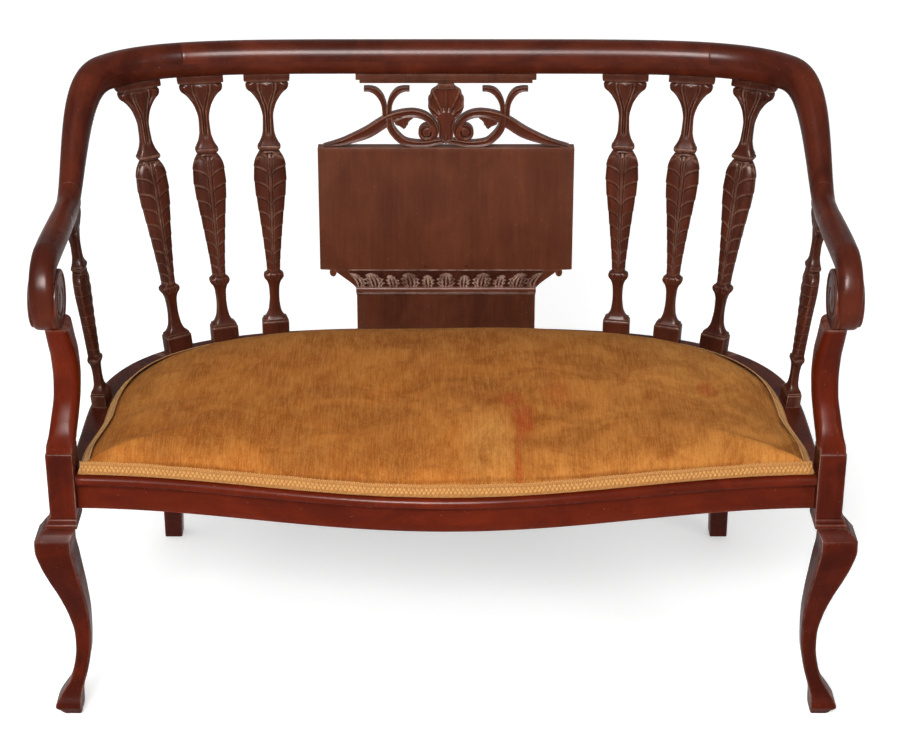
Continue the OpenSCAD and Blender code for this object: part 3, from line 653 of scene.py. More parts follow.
class Bench:
    """Lays out the nodes of one material or node group."""

    def __init__(self, tree: Tree) -> None:
        """Take the tree to work on."""
        self.tree = tree

    def add(self, kind: str, inputs: dict | None = None, **settings: object) -> Node:
        """Add a node.

        Args:
            kind: The node's type.
            inputs: Values or sockets for its inputs, by name or place.
            **settings: The node's own settings.

        Returns:
            The node.
        """
        node = self.tree.nodes.new(kind)
        for key, value in settings.items():
            setattr(node, key, value)
        for key, value in (inputs or {}).items():
            self.feed(node.inputs[key], value)
        return node

    def feed(self, socket: Socket, value: Value) -> None:
        """Link a socket to another, or set its value.

        Args:
            socket: The socket to feed.
            value: Another socket, or a plain value.
        """
        if isinstance(value, Socket):
            self.tree.links.new(value, socket)
        else:
            socket.default_value = value

    def work(self, operation: str, *values: Value, clamp: bool = False) -> Socket:
        """Work out a sum of values.

        Args:
            operation: The math node's operation.
            *values: Its inputs.
            clamp: Whether the result is held between 0 and 1.

        Returns:
            The result's socket.
        """
        node = self.add("ShaderNodeMath", dict(enumerate(values)), operation=operation)
        node.use_clamp = clamp
        return node.outputs[0]

    def times(self, a: Value, b: Value, clamp: bool = False) -> Socket:
        """Return the product of two values."""
        return self.work("MULTIPLY", a, b, clamp=clamp)

    def plus(self, a: Value, b: Value, clamp: bool = False) -> Socket:
        """Return the sum of two values."""
        return self.work("ADD", a, b, clamp=clamp)

    def span(
        self, value: Value, low: float, high: float, to_low: float = 0.0, to_high: float = 1.0
    ) -> Socket:
        """Spread a span of a value smoothly over another span, and return its socket.

        Args:
            value: The value.
            low: Where its span starts.
            high: Where its span ends.
            to_low: What the start becomes.
            to_high: What the end becomes.

        Returns:
            The result's socket.
        """
        node = self.add(
            "ShaderNodeMapRange",
            {0: value, 1: low, 2: high, 3: to_low, 4: to_high},
            interpolation_type="SMOOTHSTEP",
        )
        return node.outputs[0]

    def blend(self, share: Value, a: Value, b: Value) -> Socket:
        """Blend two colours by a share, and return the colour's socket."""
        return self.add("ShaderNodeMix", {0: share, 6: a, 7: b}, data_type="RGBA").outputs[2]

    def layers(self, base: Value, rows: Sequence[tuple[Socket, float, Colour]]) -> Socket:
        """Lay colours over a base colour.

        Args:
            base: The colour at the bottom.
            rows: Each layer's share, the strength that the share is given, and its colour.

        Returns:
            The colour's socket.
        """
        for share, strength, colour in rows:
            base = self.blend(self.times(share, strength), base, colour)
        return base

    def scaled(self, vector: Socket, scale: Triple) -> Socket:
        """Stretch a pattern's place, and return the vector's socket."""
        return self.add("ShaderNodeMapping", {0: vector, 3: scale}).outputs[0]

    def noise(
        self, vector: Socket, scale: float, detail: float, rough: float, warp: float = 0.0
    ) -> Socket:
        """Add a noise pattern, and return its value's socket.

        Args:
            vector: The pattern's place.
            scale: How fine it is.
            detail: The number of finer layers.
            rough: How strong the finer layers are.
            warp: How far it is bent.

        Returns:
            The result's socket.
        """
        node = self.add(
            "ShaderNodeTexNoise",
            {"Vector": vector, "Scale": scale, "Detail": detail, "Roughness": rough},
        )
        node.inputs["Distortion"].default_value = warp
        return node.outputs[0]

    def patterns(self, spot: Socket, out: Node, rows: Sequence[tuple]) -> None:
        """Feed a shared effect's outputs with stretched noises.

        Args:
            spot: The patterns' place.
            out: The effect's output node.
            rows: For each output its name, its stretch, its noise and the span that shows.
        """
        for label, stretch, noise, span in rows:
            pattern = self.noise(self.scaled(spot, stretch), *noise)
            self.feed(out.inputs[label], self.span(pattern, *span))

    def mark(self, label: str) -> Socket:
        """Read one of the marks kept on a piece's points."""
        return self.add("ShaderNodeAttribute", attribute_name=label).outputs["Fac"]

    def place(self) -> Socket:
        """Return the place on the piece, in metres."""
        return self.add("ShaderNodeTexCoord").outputs["Object"]

    def split(self, vector: Socket) -> tuple[Socket, ...]:
        """Return the sockets of a vector's three parts."""
        return tuple(self.add("ShaderNodeSeparateXYZ", {0: vector}).outputs)

    def relief(self, height: Socket, strength: float, distance: float) -> Socket:
        """Turn a height into a surface's normal, and return its socket."""
        inputs = {"Height": height, "Strength": strength, "Distance": distance}
        return self.add("ShaderNodeBump", inputs).outputs[0]

    def group(self, tree: Tree, inputs: dict[str, Value]) -> dict[str, Socket]:
        """Place a shared effect with its own values, and return its outputs by name."""
        return dict(self.add("ShaderNodeGroup", inputs, node_tree=tree).outputs.items())


def effect(
    name: str, inputs: dict[str, str], outputs: dict[str, str]
) -> tuple[Bench, Node, Node]:
    """Start a shared effect.

    Args:
        name: The group's name.
        inputs: The kind of each named input: Float, Vector or Color.
        outputs: The kind of each named output.

    Returns:
        The bench to lay it out on, its input node and its output node.
    """
    tree = bpy.data.node_groups.new(name, "ShaderNodeTree")
    for way, sockets in (("INPUT", inputs), ("OUTPUT", outputs)):
        for label, kind in sockets.items():
            tree.interface.new_socket(label, in_out=way, socket_type="NodeSocket" + kind)
    bench = Bench(tree)
    return bench, bench.add("NodeGroupInput"), bench.add("NodeGroupOutput")


def timber_grain() -> Tree:
    """Build the figure of mahogany: broad bands, fine streaks, pores and mottle.

    Returns:
        The group, whose Place runs along the grain in Y, in metres.
    """
    bench, given, out = effect(
        "timber_grain",
        {"Place": "Vector", "Tone": "Float"},
        {"Figure": "Float", "Streak": "Float", "Pores": "Float", "Mottle": "Float"},
    )
    far = bench.times(given.outputs["Tone"], 37.0)
    lift = bench.add("ShaderNodeCombineXYZ", {0: far, 1: far, 2: far}).outputs[0]
    place = bench.add("ShaderNodeVectorMath", {0: given.outputs["Place"], 1: lift})
    place.operation = "ADD"
    spot = place.outputs[0]
    bench.patterns(spot, out, (
        ("Figure", (1, 0.14, 1), (24, 4, 0.55, 0.7), (0.3, 0.72)),
        ("Streak", (1, 0.025, 1), (210, 3, 0.6, 0.2), (0.28, 0.75)),
        ("Pores", (1, 0.05, 1), (1500, 1, 0.5), (0.6, 0.74)),
        ("Mottle", (1, 0.7, 1), (15, 4, 0.62, 0.9), (0.33, 0.7)),
    ))
    return bench.tree


def hand_wear() -> Tree:
    """Build years of hand wear: rubbed edges, corners dark with grime and painted shade, bruises
    and smears.

    Returns:
        The group, which breaks up the marks kept on a piece's points.
    """
    bench, given, out = effect(
        "hand_wear",
        {"Place": "Vector", "Rub": "Float", "Hollow": "Float"},
        {"Rubbed": "Float", "GrimeAndShade": "Float", "Bruise": "Float", "Smear": "Float"},
    )
    spot = given.outputs["Place"]
    patchy = bench.span(bench.noise(spot, 38, 3, 0.65), 0.32, 0.66, 0.25, 1.0)
    fine = bench.span(bench.noise(spot, 420, 2, 0.6), 0.25, 0.7, 0.4, 1.0)
    rubbed = bench.times(given.outputs["Rub"], patchy)
    bench.feed(out.inputs["Rubbed"], bench.times(rubbed, fine, clamp=True))
    # Inner corners are painted darker and duller: grime, with painted shade.
    grime_and_shade = bench.times(given.outputs["Hollow"], bench.span(
        bench.noise(spot, 90, 2, 0.5), 0.2, 0.6, 0.6, 1.0), clamp=True)
    bench.feed(out.inputs["GrimeAndShade"], grime_and_shade)
    bruise = bench.noise(spot, 260, 1, 0.4)
    bench.feed(out.inputs["Bruise"], bench.span(bruise, 0.74, 0.79))
    smear = bench.noise(bench.scaled(spot, (1, 0.5, 1)), 17, 4, 0.6, 0.8)
    bench.feed(out.inputs["Smear"], bench.span(smear, 0.35, 0.7))
    return bench.tree


def plain_weave() -> Tree:
    """Build a plain weave of slightly uneven threads.

    Returns:
        The group, whose Place lies in the cloth's plane in metres.
    """
    bench, given, out = effect(
        "plain_weave",
        {"Place": "Vector", "Threads": "Float"},
        {"Height": "Float", "Shade": "Float"},
    )
    spot = given.outputs["Place"]
    wander = bench.noise(spot, 60, 2, 0.5)
    x, y, _ = bench.split(spot)
    waves = []
    for part in (x, y):
        turn = bench.times(part, given.outputs["Threads"])
        turn = bench.plus(turn, bench.times(wander, 2.0))
        waves.append(bench.work("SINE", bench.times(turn, math.pi)))
    cross = bench.times(waves[0], waves[1])
    ribs = bench.times(bench.work("ABSOLUTE", waves[0]), bench.work("ABSOLUTE", waves[1]))
    height = bench.plus(bench.times(cross, 0.25), ribs)
    bench.feed(out.inputs["Height"], height)
    bench.feed(out.inputs["Shade"], bench.span(height, 0.0, 0.9))
    return bench.tree


def velvet_pile() -> Tree:
    """Build the nap of an old ribbed velvet: fine cords, brushed streaks and worn patches.

    Returns:
        The group, whose cords run front to back along Place's Y, in metres.
    """
    bench, given, out = effect(
        "velvet_pile",
        {"Place": "Vector"},
        {"Cords": "Float", "Nap": "Float", "Worn": "Float", "Brush": "Float"},
    )
    spot = given.outputs["Place"]
    bench.patterns(spot, out, (
        ("Cords", (1, 0.055, 0.15), (480, 3, 0.62, 0.2), (0.32, 0.68)),
        ("Nap", (1, 0.45, 0.6), (560, 2, 0.65), (0.3, 0.7)),
        ("Worn", (1, 1.1, 1), (12, 6, 0.68, 0.8), (0.36, 0.66)),
        ("Brush", (1.3, 0.36, 1), (46, 4, 0.66, 0.6), (0.34, 0.68)),
    ))
    return bench.tree


class Grain(Enum):
    """Where a piece's timber grain runs."""

    ALONG_PATH = "follows the piece"
    ALONG_X = "from side to side"
    ALONG_Z = "upright"


class Effects:
    """The shared effects, each built once."""

    def __init__(self) -> None:
        """Build them."""
        self.grain = timber_grain()
        self.wear = hand_wear()
        self.weave = plain_weave()
        self.pile = velvet_pile()


def new_material(name: str, colour: Colour) -> tuple[Material, Bench]:
    """Start a material with an empty tree, and return it with its bench.

    Args:
        name: Its name.
        colour: Its plain colour.

    Returns:
        The material and its bench.
    """
    material = bpy.data.materials.new(name)
    material.use_nodes = True
    material.node_tree.nodes.clear()
    material.diffuse_color = colour
    return material, Bench(material.node_tree)


def close_material(bench: Bench, inputs: dict) -> None:
    """End a material in one Principled shader with these inputs."""
    shader = bench.add("ShaderNodeBsdfPrincipled", inputs)
    bench.add("ShaderNodeOutputMaterial", {"Surface": shader.outputs[0]})


@dataclass(frozen=True)
class FrenchPolish:
    """Dark red mahogany under an old french polish."""

    name: str
    grain: Grain
    deep: Colour = (0.016, 0.003, 0.0016, 1)
    ground: Colour = (0.06, 0.009, 0.0036, 1)
    lit: Colour = (0.15, 0.026, 0.0085, 1)
    # The pale colour of polish rubbed through; laid strongly, it is also a painted highlight.
    bare_and_highlight: Colour = (0.34, 0.2, 0.145, 1)
    bare_and_highlight_share: float = 0.62
    gloss: float = 0.3
    figured: float = 0.6
    flame: float = 0.5
    streaked: float = 0.34
    pore_share: float = 0.45
    grime_and_shade_share: float = 0.8
    bruise_share: float = 0.13
    coat: float = 0.08
    coat_rough: float = 0.27
    warm_glint: Colour = (1.0, 0.66, 0.55, 1)

    def place(self, bench: Bench) -> Socket:
        """Find the grain's place on the piece, running along Y in metres.

        Args:
            bench: The material's bench.

        Returns:
            The result's socket.
        """
        if self.grain is Grain.ALONG_PATH:
            return bench.add("ShaderNodeUVMap", uv_map="grain").outputs[0]
        x, y, z = bench.split(bench.place())
        parts = (y, x, z) if self.grain is Grain.ALONG_X else (x, z, y)
        return bench.add("ShaderNodeCombineXYZ", dict(enumerate(parts))).outputs[0]

    def material(self, effects: Effects) -> Material:
        """Build the polish.

        Args:
            effects: The shared effects.

        Returns:
            The material.
        """
        material, bench = new_material(self.name, self.ground)
        tone = bench.mark("tone")
        place = self.place(bench)
        timber = bench.group(effects.grain, {"Place": place, "Tone": tone})
        spot = bench.place()
        wear = bench.group(
            effects.wear,
            {"Place": spot, "Rub": bench.mark("rub"), "Hollow": bench.mark("hollow")},
        )
        figure = bench.times(timber["Figure"], 1.0 - self.flame)
        mottle = bench.times(timber["Mottle"], self.flame)
        streak = bench.times(timber["Streak"], self.streaked)
        figure = bench.plus(bench.plus(figure, mottle), streak)
        figure = bench.work("SUBTRACT", figure, 0.5 * (1.0 + self.streaked))
        level = bench.plus(bench.times(figure, self.figured), tone, clamp=True)
        low = bench.blend(bench.span(level, 0.0, 0.5), self.deep, self.ground)
        wood = bench.blend(bench.span(level, 0.4, 1.0), low, self.lit)
        # Grime and painted shade darken inner corners; the pale rubbed colour is wear and, laid
        # strongly, a painted highlight.
        wood = bench.layers(wood, (
            (timber["Pores"], self.pore_share, self.deep),
            (wear["GrimeAndShade"], self.grime_and_shade_share, self.deep),
            (wear["Bruise"], self.bruise_share, self.bare_and_highlight),
            (wear["Rubbed"], self.bare_and_highlight_share, self.bare_and_highlight),
        ))
        rough = bench.span(wear["Smear"], 0.0, 1.0, self.gloss - 0.05, self.gloss + 0.09)
        rough = bench.plus(rough, bench.times(wear["GrimeAndShade"], 0.25))
        rough = bench.plus(rough, bench.times(timber["Pores"], 0.15))
        height = bench.times(timber["Pores"], -1.0)
        height = bench.plus(height, bench.times(timber["Streak"], 0.35))
        normal = bench.relief(height, 0.1, 0.0006)
        close_material(bench, {
            "Base Color": wood,
            "Roughness": rough,
            "Normal": normal,
            "Specular IOR Level": 0.01,
            "Specular Tint": self.warm_glint,
            "Coat Weight": self.coat,
            "Coat Roughness": self.coat_rough,
        })
        return material


@dataclass(frozen=True)
class WornVelvet:
    """Gold cotton velvet, rubbed and faintly stained."""

    name: str = "worn_velvet"
    gold: Colour = (0.43, 0.138, 0.022, 1)
    pale: Colour = (0.6, 0.275, 0.066, 1)
    shade: Colour = (0.21, 0.054, 0.007, 1)
    rust: Colour = (0.33, 0.05, 0.01, 1)
    dull: Colour = (0.26, 0.095, 0.018, 1)
    stains: tuple[Spot, ...] = (
        (0.093, -0.098, 0.027, 0.03, 0.85), (0.107, -0.16, 0.021, 0.062, 0.95),
        (0.098, -0.265, 0.0062, 0.12, 0.8), (0.16, -0.08, 0.034, 0.06, 0.42),
        (0.375, -0.045, 0.017, 0.03, 0.75),
    )
    rubs: tuple[Spot, ...] = (
        (0.062, -0.215, 0.044, 0.095, 0.72), (0.36, 0.02, 0.1, 0.16, 0.42),
        (0.2, -0.3, 0.16, 0.05, 0.35), (-0.42, -0.02, 0.06, 0.14, 0.35),
        (-0.1, -0.315, 0.22, 0.035, 0.3),
    )
    browns: tuple[Spot, ...] = (
        (-0.374, -0.128, 0.075, 0.12, 0.42), (-0.23, -0.04, 0.13, 0.15, 0.4),
        (-0.077, -0.2, 0.06, 0.11, 0.5), (-0.18, -0.26, 0.09, 0.05, 0.38),
        (0.428, -0.231, 0.0065, 0.011, 1.0), (0.04, -0.02, 0.1, 0.1, 0.3),
        (0.24, -0.19, 0.09, 0.06, 0.25),
    )

    worn_share: float = 0.85
    brush_share: float = 0.22
    # How strongly creases and the tuck are painted with shade.
    crease_shade_share: float = 0.75
    fray: float = 1.7
    rough: float = 0.92

    def stain(
        self, bench: Bench, spots: tuple[Spot, ...], spot: Socket, ragged: Socket
    ) -> Socket:
        """Add up the shares of some marks over the seat.

        Args:
            bench: The material's bench.
            spots: The marks: place, half sizes and strength.
            spot: The place on the seat.
            ragged: A noise that frays their edges.

        Returns:
            The share's socket.
        """
        x, y, _ = bench.split(spot)
        total = None
        for across, back, wide, deep, strength in spots:
            dx = bench.work("DIVIDE", bench.work("SUBTRACT", x, across), wide)
            dy = bench.work("DIVIDE", bench.work("SUBTRACT", y, back), deep)
            far = bench.plus(bench.times(dx, dx), bench.times(dy, dy))
            far = bench.plus(far, bench.times(ragged, self.fray))
            share = bench.span(far, 0.55, 2.0, strength, 0.0)
            total = share if total is None else bench.work("MAXIMUM", total, share)
        return total

    def material(self, effects: Effects) -> Material:
        """Build the velvet.

        Args:
            effects: The shared effects.

        Returns:
            The material.
        """
        material, bench = new_material(self.name, self.gold)
        spot = bench.place()
        pile = bench.group(effects.pile, {"Place": spot})
        x, y, _ = bench.split(spot)
        cloth = bench.blend(bench.span(x, -0.1, 0.5, 0.0, 0.34), self.gold, self.pale)
        cloth = bench.blend(bench.span(y, -0.05, 0.16, 0.0, 0.75), cloth, self.dull)
        ragged = bench.noise(bench.scaled(spot, (1, 0.6, 1)), 62, 5, 0.72)
        cloth = bench.blend(self.stain(bench, self.rubs, spot, ragged), cloth, self.pale)
        cloth = bench.blend(self.stain(bench, self.browns, spot, ragged), cloth, self.shade)
        worn = (pile["Worn"], self.worn_share, self.shade)
        cloth = bench.layers(cloth, (worn, (pile["Brush"], self.brush_share, self.pale)))
        cloth = bench.blend(self.stain(bench, self.stains, spot, ragged), cloth, self.rust)
        # Creases, the tuck and inner corners are painted with shade.
        crease_shade = (bench.mark("hollow"), self.crease_shade_share, self.shade)
        cloth = bench.layers(cloth, (crease_shade,))
        for name, low, high in (("Cords", 0.26, 0.2), ("Nap", 0.2, 0.13)):
            dark = bench.span(pile[name], 0.0, 0.55, low, 0.0)
            cloth = bench.blend(dark, cloth, self.shade)
            light = bench.span(pile[name], 0.5, 1.0, 0.0, high)
            cloth = bench.blend(light, cloth, self.pale)
        height = bench.plus(pile["Cords"], pile["Nap"])
        normal = bench.relief(height, 0.6, 0.0007)
        close_material(bench, {
            "Base Color": cloth,
            "Roughness": self.rough,
            "Normal": normal,
            "Specular IOR Level": 0.02,
            "Sheen Weight": 0.04,
            "Sheen Roughness": 0.45,
            "Sheen Tint": (1.0, 0.7, 0.34, 1),
        })
        return material


@dataclass(frozen=True)
class Cloth:
    """A woven cloth or braid of one yarn."""

    name: str
    yarn: Colour
    dark: Colour
    threads: float
    deep: float = 0.0004
    wear: float = 0.3
    sheen: float = 0.05
    follows_piece: bool = False

    def material(self, effects: Effects) -> Material:
        """Build the cloth.

        Args:
            effects: The shared effects.

        Returns:
            The material.
        """
        material, bench = new_material(self.name, self.yarn)
        spot = bench.place()
        place = spot
        if self.follows_piece:
            place = bench.add("ShaderNodeUVMap", uv_map="grain").outputs[0]
        weave = bench.group(effects.weave, {"Place": place, "Threads": self.threads})
        dirt = bench.span(bench.noise(spot, 14, 4, 0.65), 0.35, 0.7)
        cloth = bench.blend(weave["Shade"], self.dark, self.yarn)
        # Creases and hollows, such as the braid's recesses, are painted with shade.
        crease_shade = (bench.mark("hollow"), 0.9, self.dark)
        cloth = bench.layers(cloth, ((dirt, self.wear, self.dark), crease_shade))
        normal = bench.relief(weave["Height"], 0.7, self.deep)
        close_material(bench, {
            "Base Color": cloth,
            "Roughness": 0.88,
            "Normal": normal,
            "Specular IOR Level": 0.12,
            "Sheen Weight": self.sheen,
        })
        return material


@dataclass(frozen=True)
class BrightSteel:
    """Turned and slightly tarnished steel."""

    name: str = "bright_steel"
    metal: Colour = (0.46, 0.45, 0.43, 1)
    tarnish: Colour = (0.16, 0.12, 0.09, 1)

    def material(self, effects: Effects) -> Material:
        """Build the steel.

        Args:
            effects: The shared effects.

        Returns:
            The material.
        """
        material, bench = new_material(self.name, self.metal)
        spot = bench.place()
        wear = bench.group(effects.wear, {"Place": spot, "Rub": 0.0, "Hollow": 0.6})
        turned = bench.noise(bench.scaled(spot, (1, 1, 9)), 260, 2, 0.5)
        metal = bench.blend(wear["Smear"], self.metal, self.tarnish)
        rough = bench.span(turned, 0.3, 0.7, 0.26, 0.46)
        normal = bench.relief(turned, 0.2, 0.0002)
        close_material(
            bench, {"Base Color": metal, "Roughness": rough, "Metallic": 0.9, "Normal": normal}
        )
        return material


class Finishes:
    """Every finish of the settee, ready to use."""

    def __init__(self, effects: Effects) -> None:
        """Build them.

        Args:
            effects: The shared effects.
        """
        self.rail = FrenchPolish(
            "polished_rail", Grain.ALONG_PATH, deep=(0.026, 0.005, 0.0026, 1),
            ground=(0.082, 0.015, 0.0068, 1), lit=(0.19, 0.037, 0.0135, 1), gloss=0.27,
            figured=0.42, flame=0.75, streaked=0.16
        ).material(effects)
        self.carved = FrenchPolish(
            "polished_carving", Grain.ALONG_PATH, deep=(0.013, 0.003, 0.0018, 1),
            ground=(0.06, 0.0135, 0.0062, 1), lit=(0.125, 0.027, 0.011, 1),
            bare_and_highlight=(0.3, 0.165, 0.115, 1), bare_and_highlight_share=0.75, gloss=0.36, figured=0.45
        ).material(effects)
        # The leaves' pale colour, laid in full on their raised tops, is wear and a painted
        # highlight.
        self.leaves = FrenchPolish(
            "polished_leaves", Grain.ALONG_PATH, deep=(0.013, 0.003, 0.0018, 1),
            ground=(0.075, 0.02, 0.01, 1), lit=(0.15, 0.042, 0.02, 1),
            bare_and_highlight=(0.56, 0.37, 0.29, 1), bare_and_highlight_share=1.0, gloss=0.26, figured=0.3
        ).material(effects)
        self.panel = FrenchPolish(
            "polished_panel", Grain.ALONG_Z, deep=(0.046, 0.0125, 0.0062, 1),
            ground=(0.088, 0.0245, 0.0115, 1), lit=(0.15, 0.045, 0.02, 1), bare_and_highlight_share=0.5,
            gloss=0.42, figured=0.42
        ).material(effects)
        self.leg = FrenchPolish(
            "polished_leg", Grain.ALONG_PATH, deep=(0.034, 0.0036, 0.001, 1),
            ground=(0.094, 0.0095, 0.0022, 1), lit=(0.19, 0.023, 0.0042, 1),
            bare_and_highlight=(0.42, 0.235, 0.185, 1), bare_and_highlight_share=0.55, gloss=0.28, figured=0.36, flame=0.7,
            streaked=0.2
        ).material(effects)
        self.inner_block = FrenchPolish(
            "unpolished_block", Grain.ALONG_X, gloss=0.62, bare_and_highlight_share=0.2
        ).material(effects)
        self.inner_rail = FrenchPolish(
            "unpolished_rail", Grain.ALONG_Z, gloss=0.62, bare_and_highlight_share=0.2
        ).material(effects)
        self.velvet = WornVelvet().material(effects)
        self.braid = Cloth(
            "gimp_braid", (0.98, 0.6, 0.175, 1), (0.36, 0.125, 0.022, 1), 1500,
            0.0004, 0.12, 0.1, True,
        ).material(effects)
        self.linen = Cloth(
            "jute_and_linen", (0.4, 0.3, 0.16, 1), (0.16, 0.11, 0.05, 1), 760
        ).material(effects)
        self.black = Cloth(
            "black_cotton", (0.03, 0.027, 0.025, 1), (0.01, 0.009, 0.009, 1), 1300
        ).material(effects)
        self.steel = BrightSteel().material(effects)


# Crest rail, shoulders and arms


@dataclass
class CrestAndArms:
    """The show-wood rail: a crest, two swept shoulders and two scrolled arms."""

    plan: Plan
    finishes: Finishes
    crest_joint: float = 38.7
    shoulder_joint: float = 171.4
    fullness: float = 2.35
    edge: float = 0.3
    scroll_w: float = 34.0
    scroll_flare: float = 2.0
    scroll_reach: float = 32.0
    scroll_r: float = 72.0
    scroll_end: float = 265.0
    scroll_shrink: float = 0.72
    scroll_tail: float = 0.36
    boss_r: float = 41.0
    boss_out: float = 2.6
    boss_ease: float = 1.8
    boss_mid: tuple[float, float] = (12.0, 4.0)
    around: int = 56
    crest_rings: int = 190
    shoulder_rings: int = 120
    crest_tone: float = 0.37
    shoulder_tones: tuple[float, float] = (0.34, 0.35)
    arm_tones: tuple[float, float] = (0.4, 0.38)
    rubbed: float = 0.12
    arm_rubbed: float = 0.6

    @property
    def scroll_x(self) -> float:
        """Distance of the scroll from the middle plane."""
        return self.plan.crest_half + self.scroll_flare

    @property
    def scroll_mid(self) -> float:
        """Height of the scroll's centre."""
        return self.plan.arm_mid + self.plan.arm_h / 2 - self.scroll_r

    def even_angles(self, first: float, last: float, count: int) -> tuple[Array, Array]:
        """Space rings evenly along the rail's path.

        Args:
            first: The plan angle at the start, in degrees.
            last: The plan angle at the end.
            count: The number of rings less one.

        Returns:
            The rings' angles and how far each is drawn in at the joints.
        """
        fine = np.linspace(first, last, 1500)
        run = lengths(self.plan.crest_point(fine))
        rows, drawn = end_rows(count, run[-1], self.edge)
        return np.interp(rows, run, fine), drawn

    def rail_rings(self, angles: Array, drawn: Array) -> Array:
        """Place the rail's section along its path.

        Args:
            angles: The rings' plan angles, in degrees.
            drawn: How far each ring is drawn in.

        Returns:
            The points, by ring and column.
        """
        plan = self.plan
        p = plan.crest_point(angles)
        along = unit(plan.crest_point(angles + 0.5) - plan.crest_point(angles - 0.5))
        side = unit(np.cross(np.array([0.0, 0.0, 1.0]), along))
        up = np.cross(along, side)
        share = plan.crest_share(p[:, 1])
        wide = mix(plan.sweep_w, plan.crest_d, share) / 2 - drawn
        high = mix(plan.arm_h, plan.crest_h, share) / 2 - drawn
        across, rise = round_ring(self.around, np.array([self.fullness]), plan.planed)
        out, lift = (across * wide[:, None])[..., None], (rise * high[:, None])[..., None]
        return p[:, None] + out * side[:, None] + lift * up[:, None]

    def crest(self) -> Piece:
        """Build the crest rail between its joints.

        Returns:
            The piece.
        """
        angles, drawn = self.even_angles(self.crest_joint, 180 - self.crest_joint, self.crest_rings)
        return settle(
            loft(self.rail_rings(angles, drawn)), "crest_rail_timber",
            self.finishes.rail, tone=self.crest_tone, rubbed=self.rubbed,
        )

    def shoulder(self, right: bool) -> Piece:
        """Build one swept shoulder.

        Args:
            right: Whether it is the right partner.

        Returns:
            The piece.
        """
        angles, drawn = self.even_angles(
            180 - self.crest_joint, self.shoulder_joint, self.shoulder_rings
        )
        return settle(
            loft(self.rail_rings(angles, drawn)), f"{hand(right)}_shoulder_timber",
            self.finishes.rail, right, tone=self.shoulder_tones[right], rubbed=self.rubbed,
            node=f"{hand(right)}_shoulder_rail",
        )

    def outline(self, angle: Array) -> Array:
        """Find the scroll's outline radius; the angle runs from its top over the front."""
        return self.scroll_r * (1 - self.scroll_shrink * angle / 360)

    def along_arm(self, y: Array, back: float) -> Array:
        """Find the share of the way from the scroll back to a place on the arm."""
        return smooth((y - self.scroll_reach - self.plan.arm_h / 2) / (back - self.scroll_reach))

    def band(self) -> Mesh:
        """Build the arm's band, from the shoulder's joint to its end under the scroll.

        Returns:
            The mesh.
        """
        plan = self.plan
        angles = np.concatenate(
            [self.shoulder_joint + np.array([0, 0.02, 0.08, 0.16]), np.linspace(171.8, 179.9, 16)]
        )
        drawn = np.zeros(len(angles))
        drawn[:3] = self.edge, self.edge * 0.4, self.edge * 0.1
        sweep = self.rail_rings(angles, drawn)
        across, rise = round_ring(self.around, np.array([self.fullness]), plan.planed)
        y = np.linspace(plan.crest_turn - 2, self.scroll_reach + 3, 22)[:, None]
        out = mix(self.scroll_x, plan.crest_half, self.along_arm(y, plan.crest_turn))
        wide = mix(self.scroll_w, plan.sweep_w, self.along_arm(y, plan.sweep_front))
        rows = xyz(across * wide / 2 - out, y, plan.arm_mid + rise * plan.arm_h / 2)
        turn = np.linspace(0, self.scroll_end, 74)
        thick = plan.arm_h * mix(1.0, self.scroll_tail, turn / self.scroll_end)
        radius = self.outline(turn) - thick / 2
        a = np.radians(turn)[:, None]
        fullness = mix(mix(self.fullness, 3.2, smooth(turn / 70)), 6.0, smooth((turn - 110) / 60))
        across, rise = round_ring(self.around, fullness)
        floor = mix(-plan.planed, -1.0, smooth(turn / 60))[:, None]
        far = radius[:, None] + np.maximum(rise, floor) * thick[:, None] / 2
        scroll = xyz(
            across * self.scroll_w / 2 - self.scroll_x,
            self.scroll_reach - far * np.sin(a), self.scroll_mid + far * np.cos(a),
        )
        return loft(np.concatenate([sweep, rows, scroll]))

    def boss(self, inner: bool) -> Mesh:
        """Carve the round face at one side of the scroll, with its curled groove.

        Args:
            inner: Whether it faces the sitter.

        Returns:
            The boss's mesh.
        """
        rim_shares = [0.955, 0.975, 0.99, 0.998, 1.0, 1.0, 1.0]
        share = np.concatenate([np.linspace(0.0, 0.93, 60), rim_shares])
        s, a = np.meshgrid(share, np.linspace(0, 360, 145), indexing="ij")
        centre_y = self.scroll_reach - self.boss_mid[0]
        centre_z = self.scroll_mid - self.boss_mid[1]
        rim_r = self.boss_r if inner else self.boss_r - 3.0
        r = s * rim_r
        turned = np.sqrt(np.clip(1 - ((s - 0.93) / 0.07).clip(0) ** 2, 0, 1))
        high = self.boss_out - self.boss_ease * (1 - turned) - 1.1 * smooth((0.9 - s) / 0.1)
        curl_r = rim_r * (0.66 - 0.3 * (a / 360))
        groove = bump(r, curl_r, 1.9) * smooth((310 - a) / 30) * smooth((a - 8) / 20)
        high = high - 2.6 * groove + 1.0 * bump(r, 0.0, rim_r * 0.28)
        wall = np.arange(len(share))[:, None] - (len(share) - 3)
        high = np.where(wall > 0, self.boss_out - self.boss_ease - 3.0 * wall, high)
        turn = np.radians(a + 100)
        x = (self.scroll_w / 2 + high) * (1 if inner else -1) - self.scroll_x
        points = xyz(x, centre_y + r * np.cos(turn), centre_z + r * np.sin(turn))
        # The curled groove is painted darker: grime and painted shade.
        return loft(points, marks={"sunk": 0.9 * groove}, grain_map=points[..., 1:] * MM)

    def arm(self, right: bool) -> Piece:
        """Build one arm with its scroll.

        Args:
            right: Whether it is the right partner.

        Returns:
            The piece.
        """
        bm = join([self.band(), self.boss(True), self.boss(False)])
        return settle(
            bm, f"{hand(right)}_arm_timber", self.finishes.rail, right,
            tone=self.arm_tones[right], rubbed=self.arm_rubbed,
        )

    def build(self) -> list[Piece]:
        """Build the crest, shoulders and arms.

        Returns:
            The pieces.
        """
        pieces = [self.crest()]
        for right in (False, True):
            pieces += [self.shoulder(right), self.arm(right)]
        return pieces


# Arm supports and legs


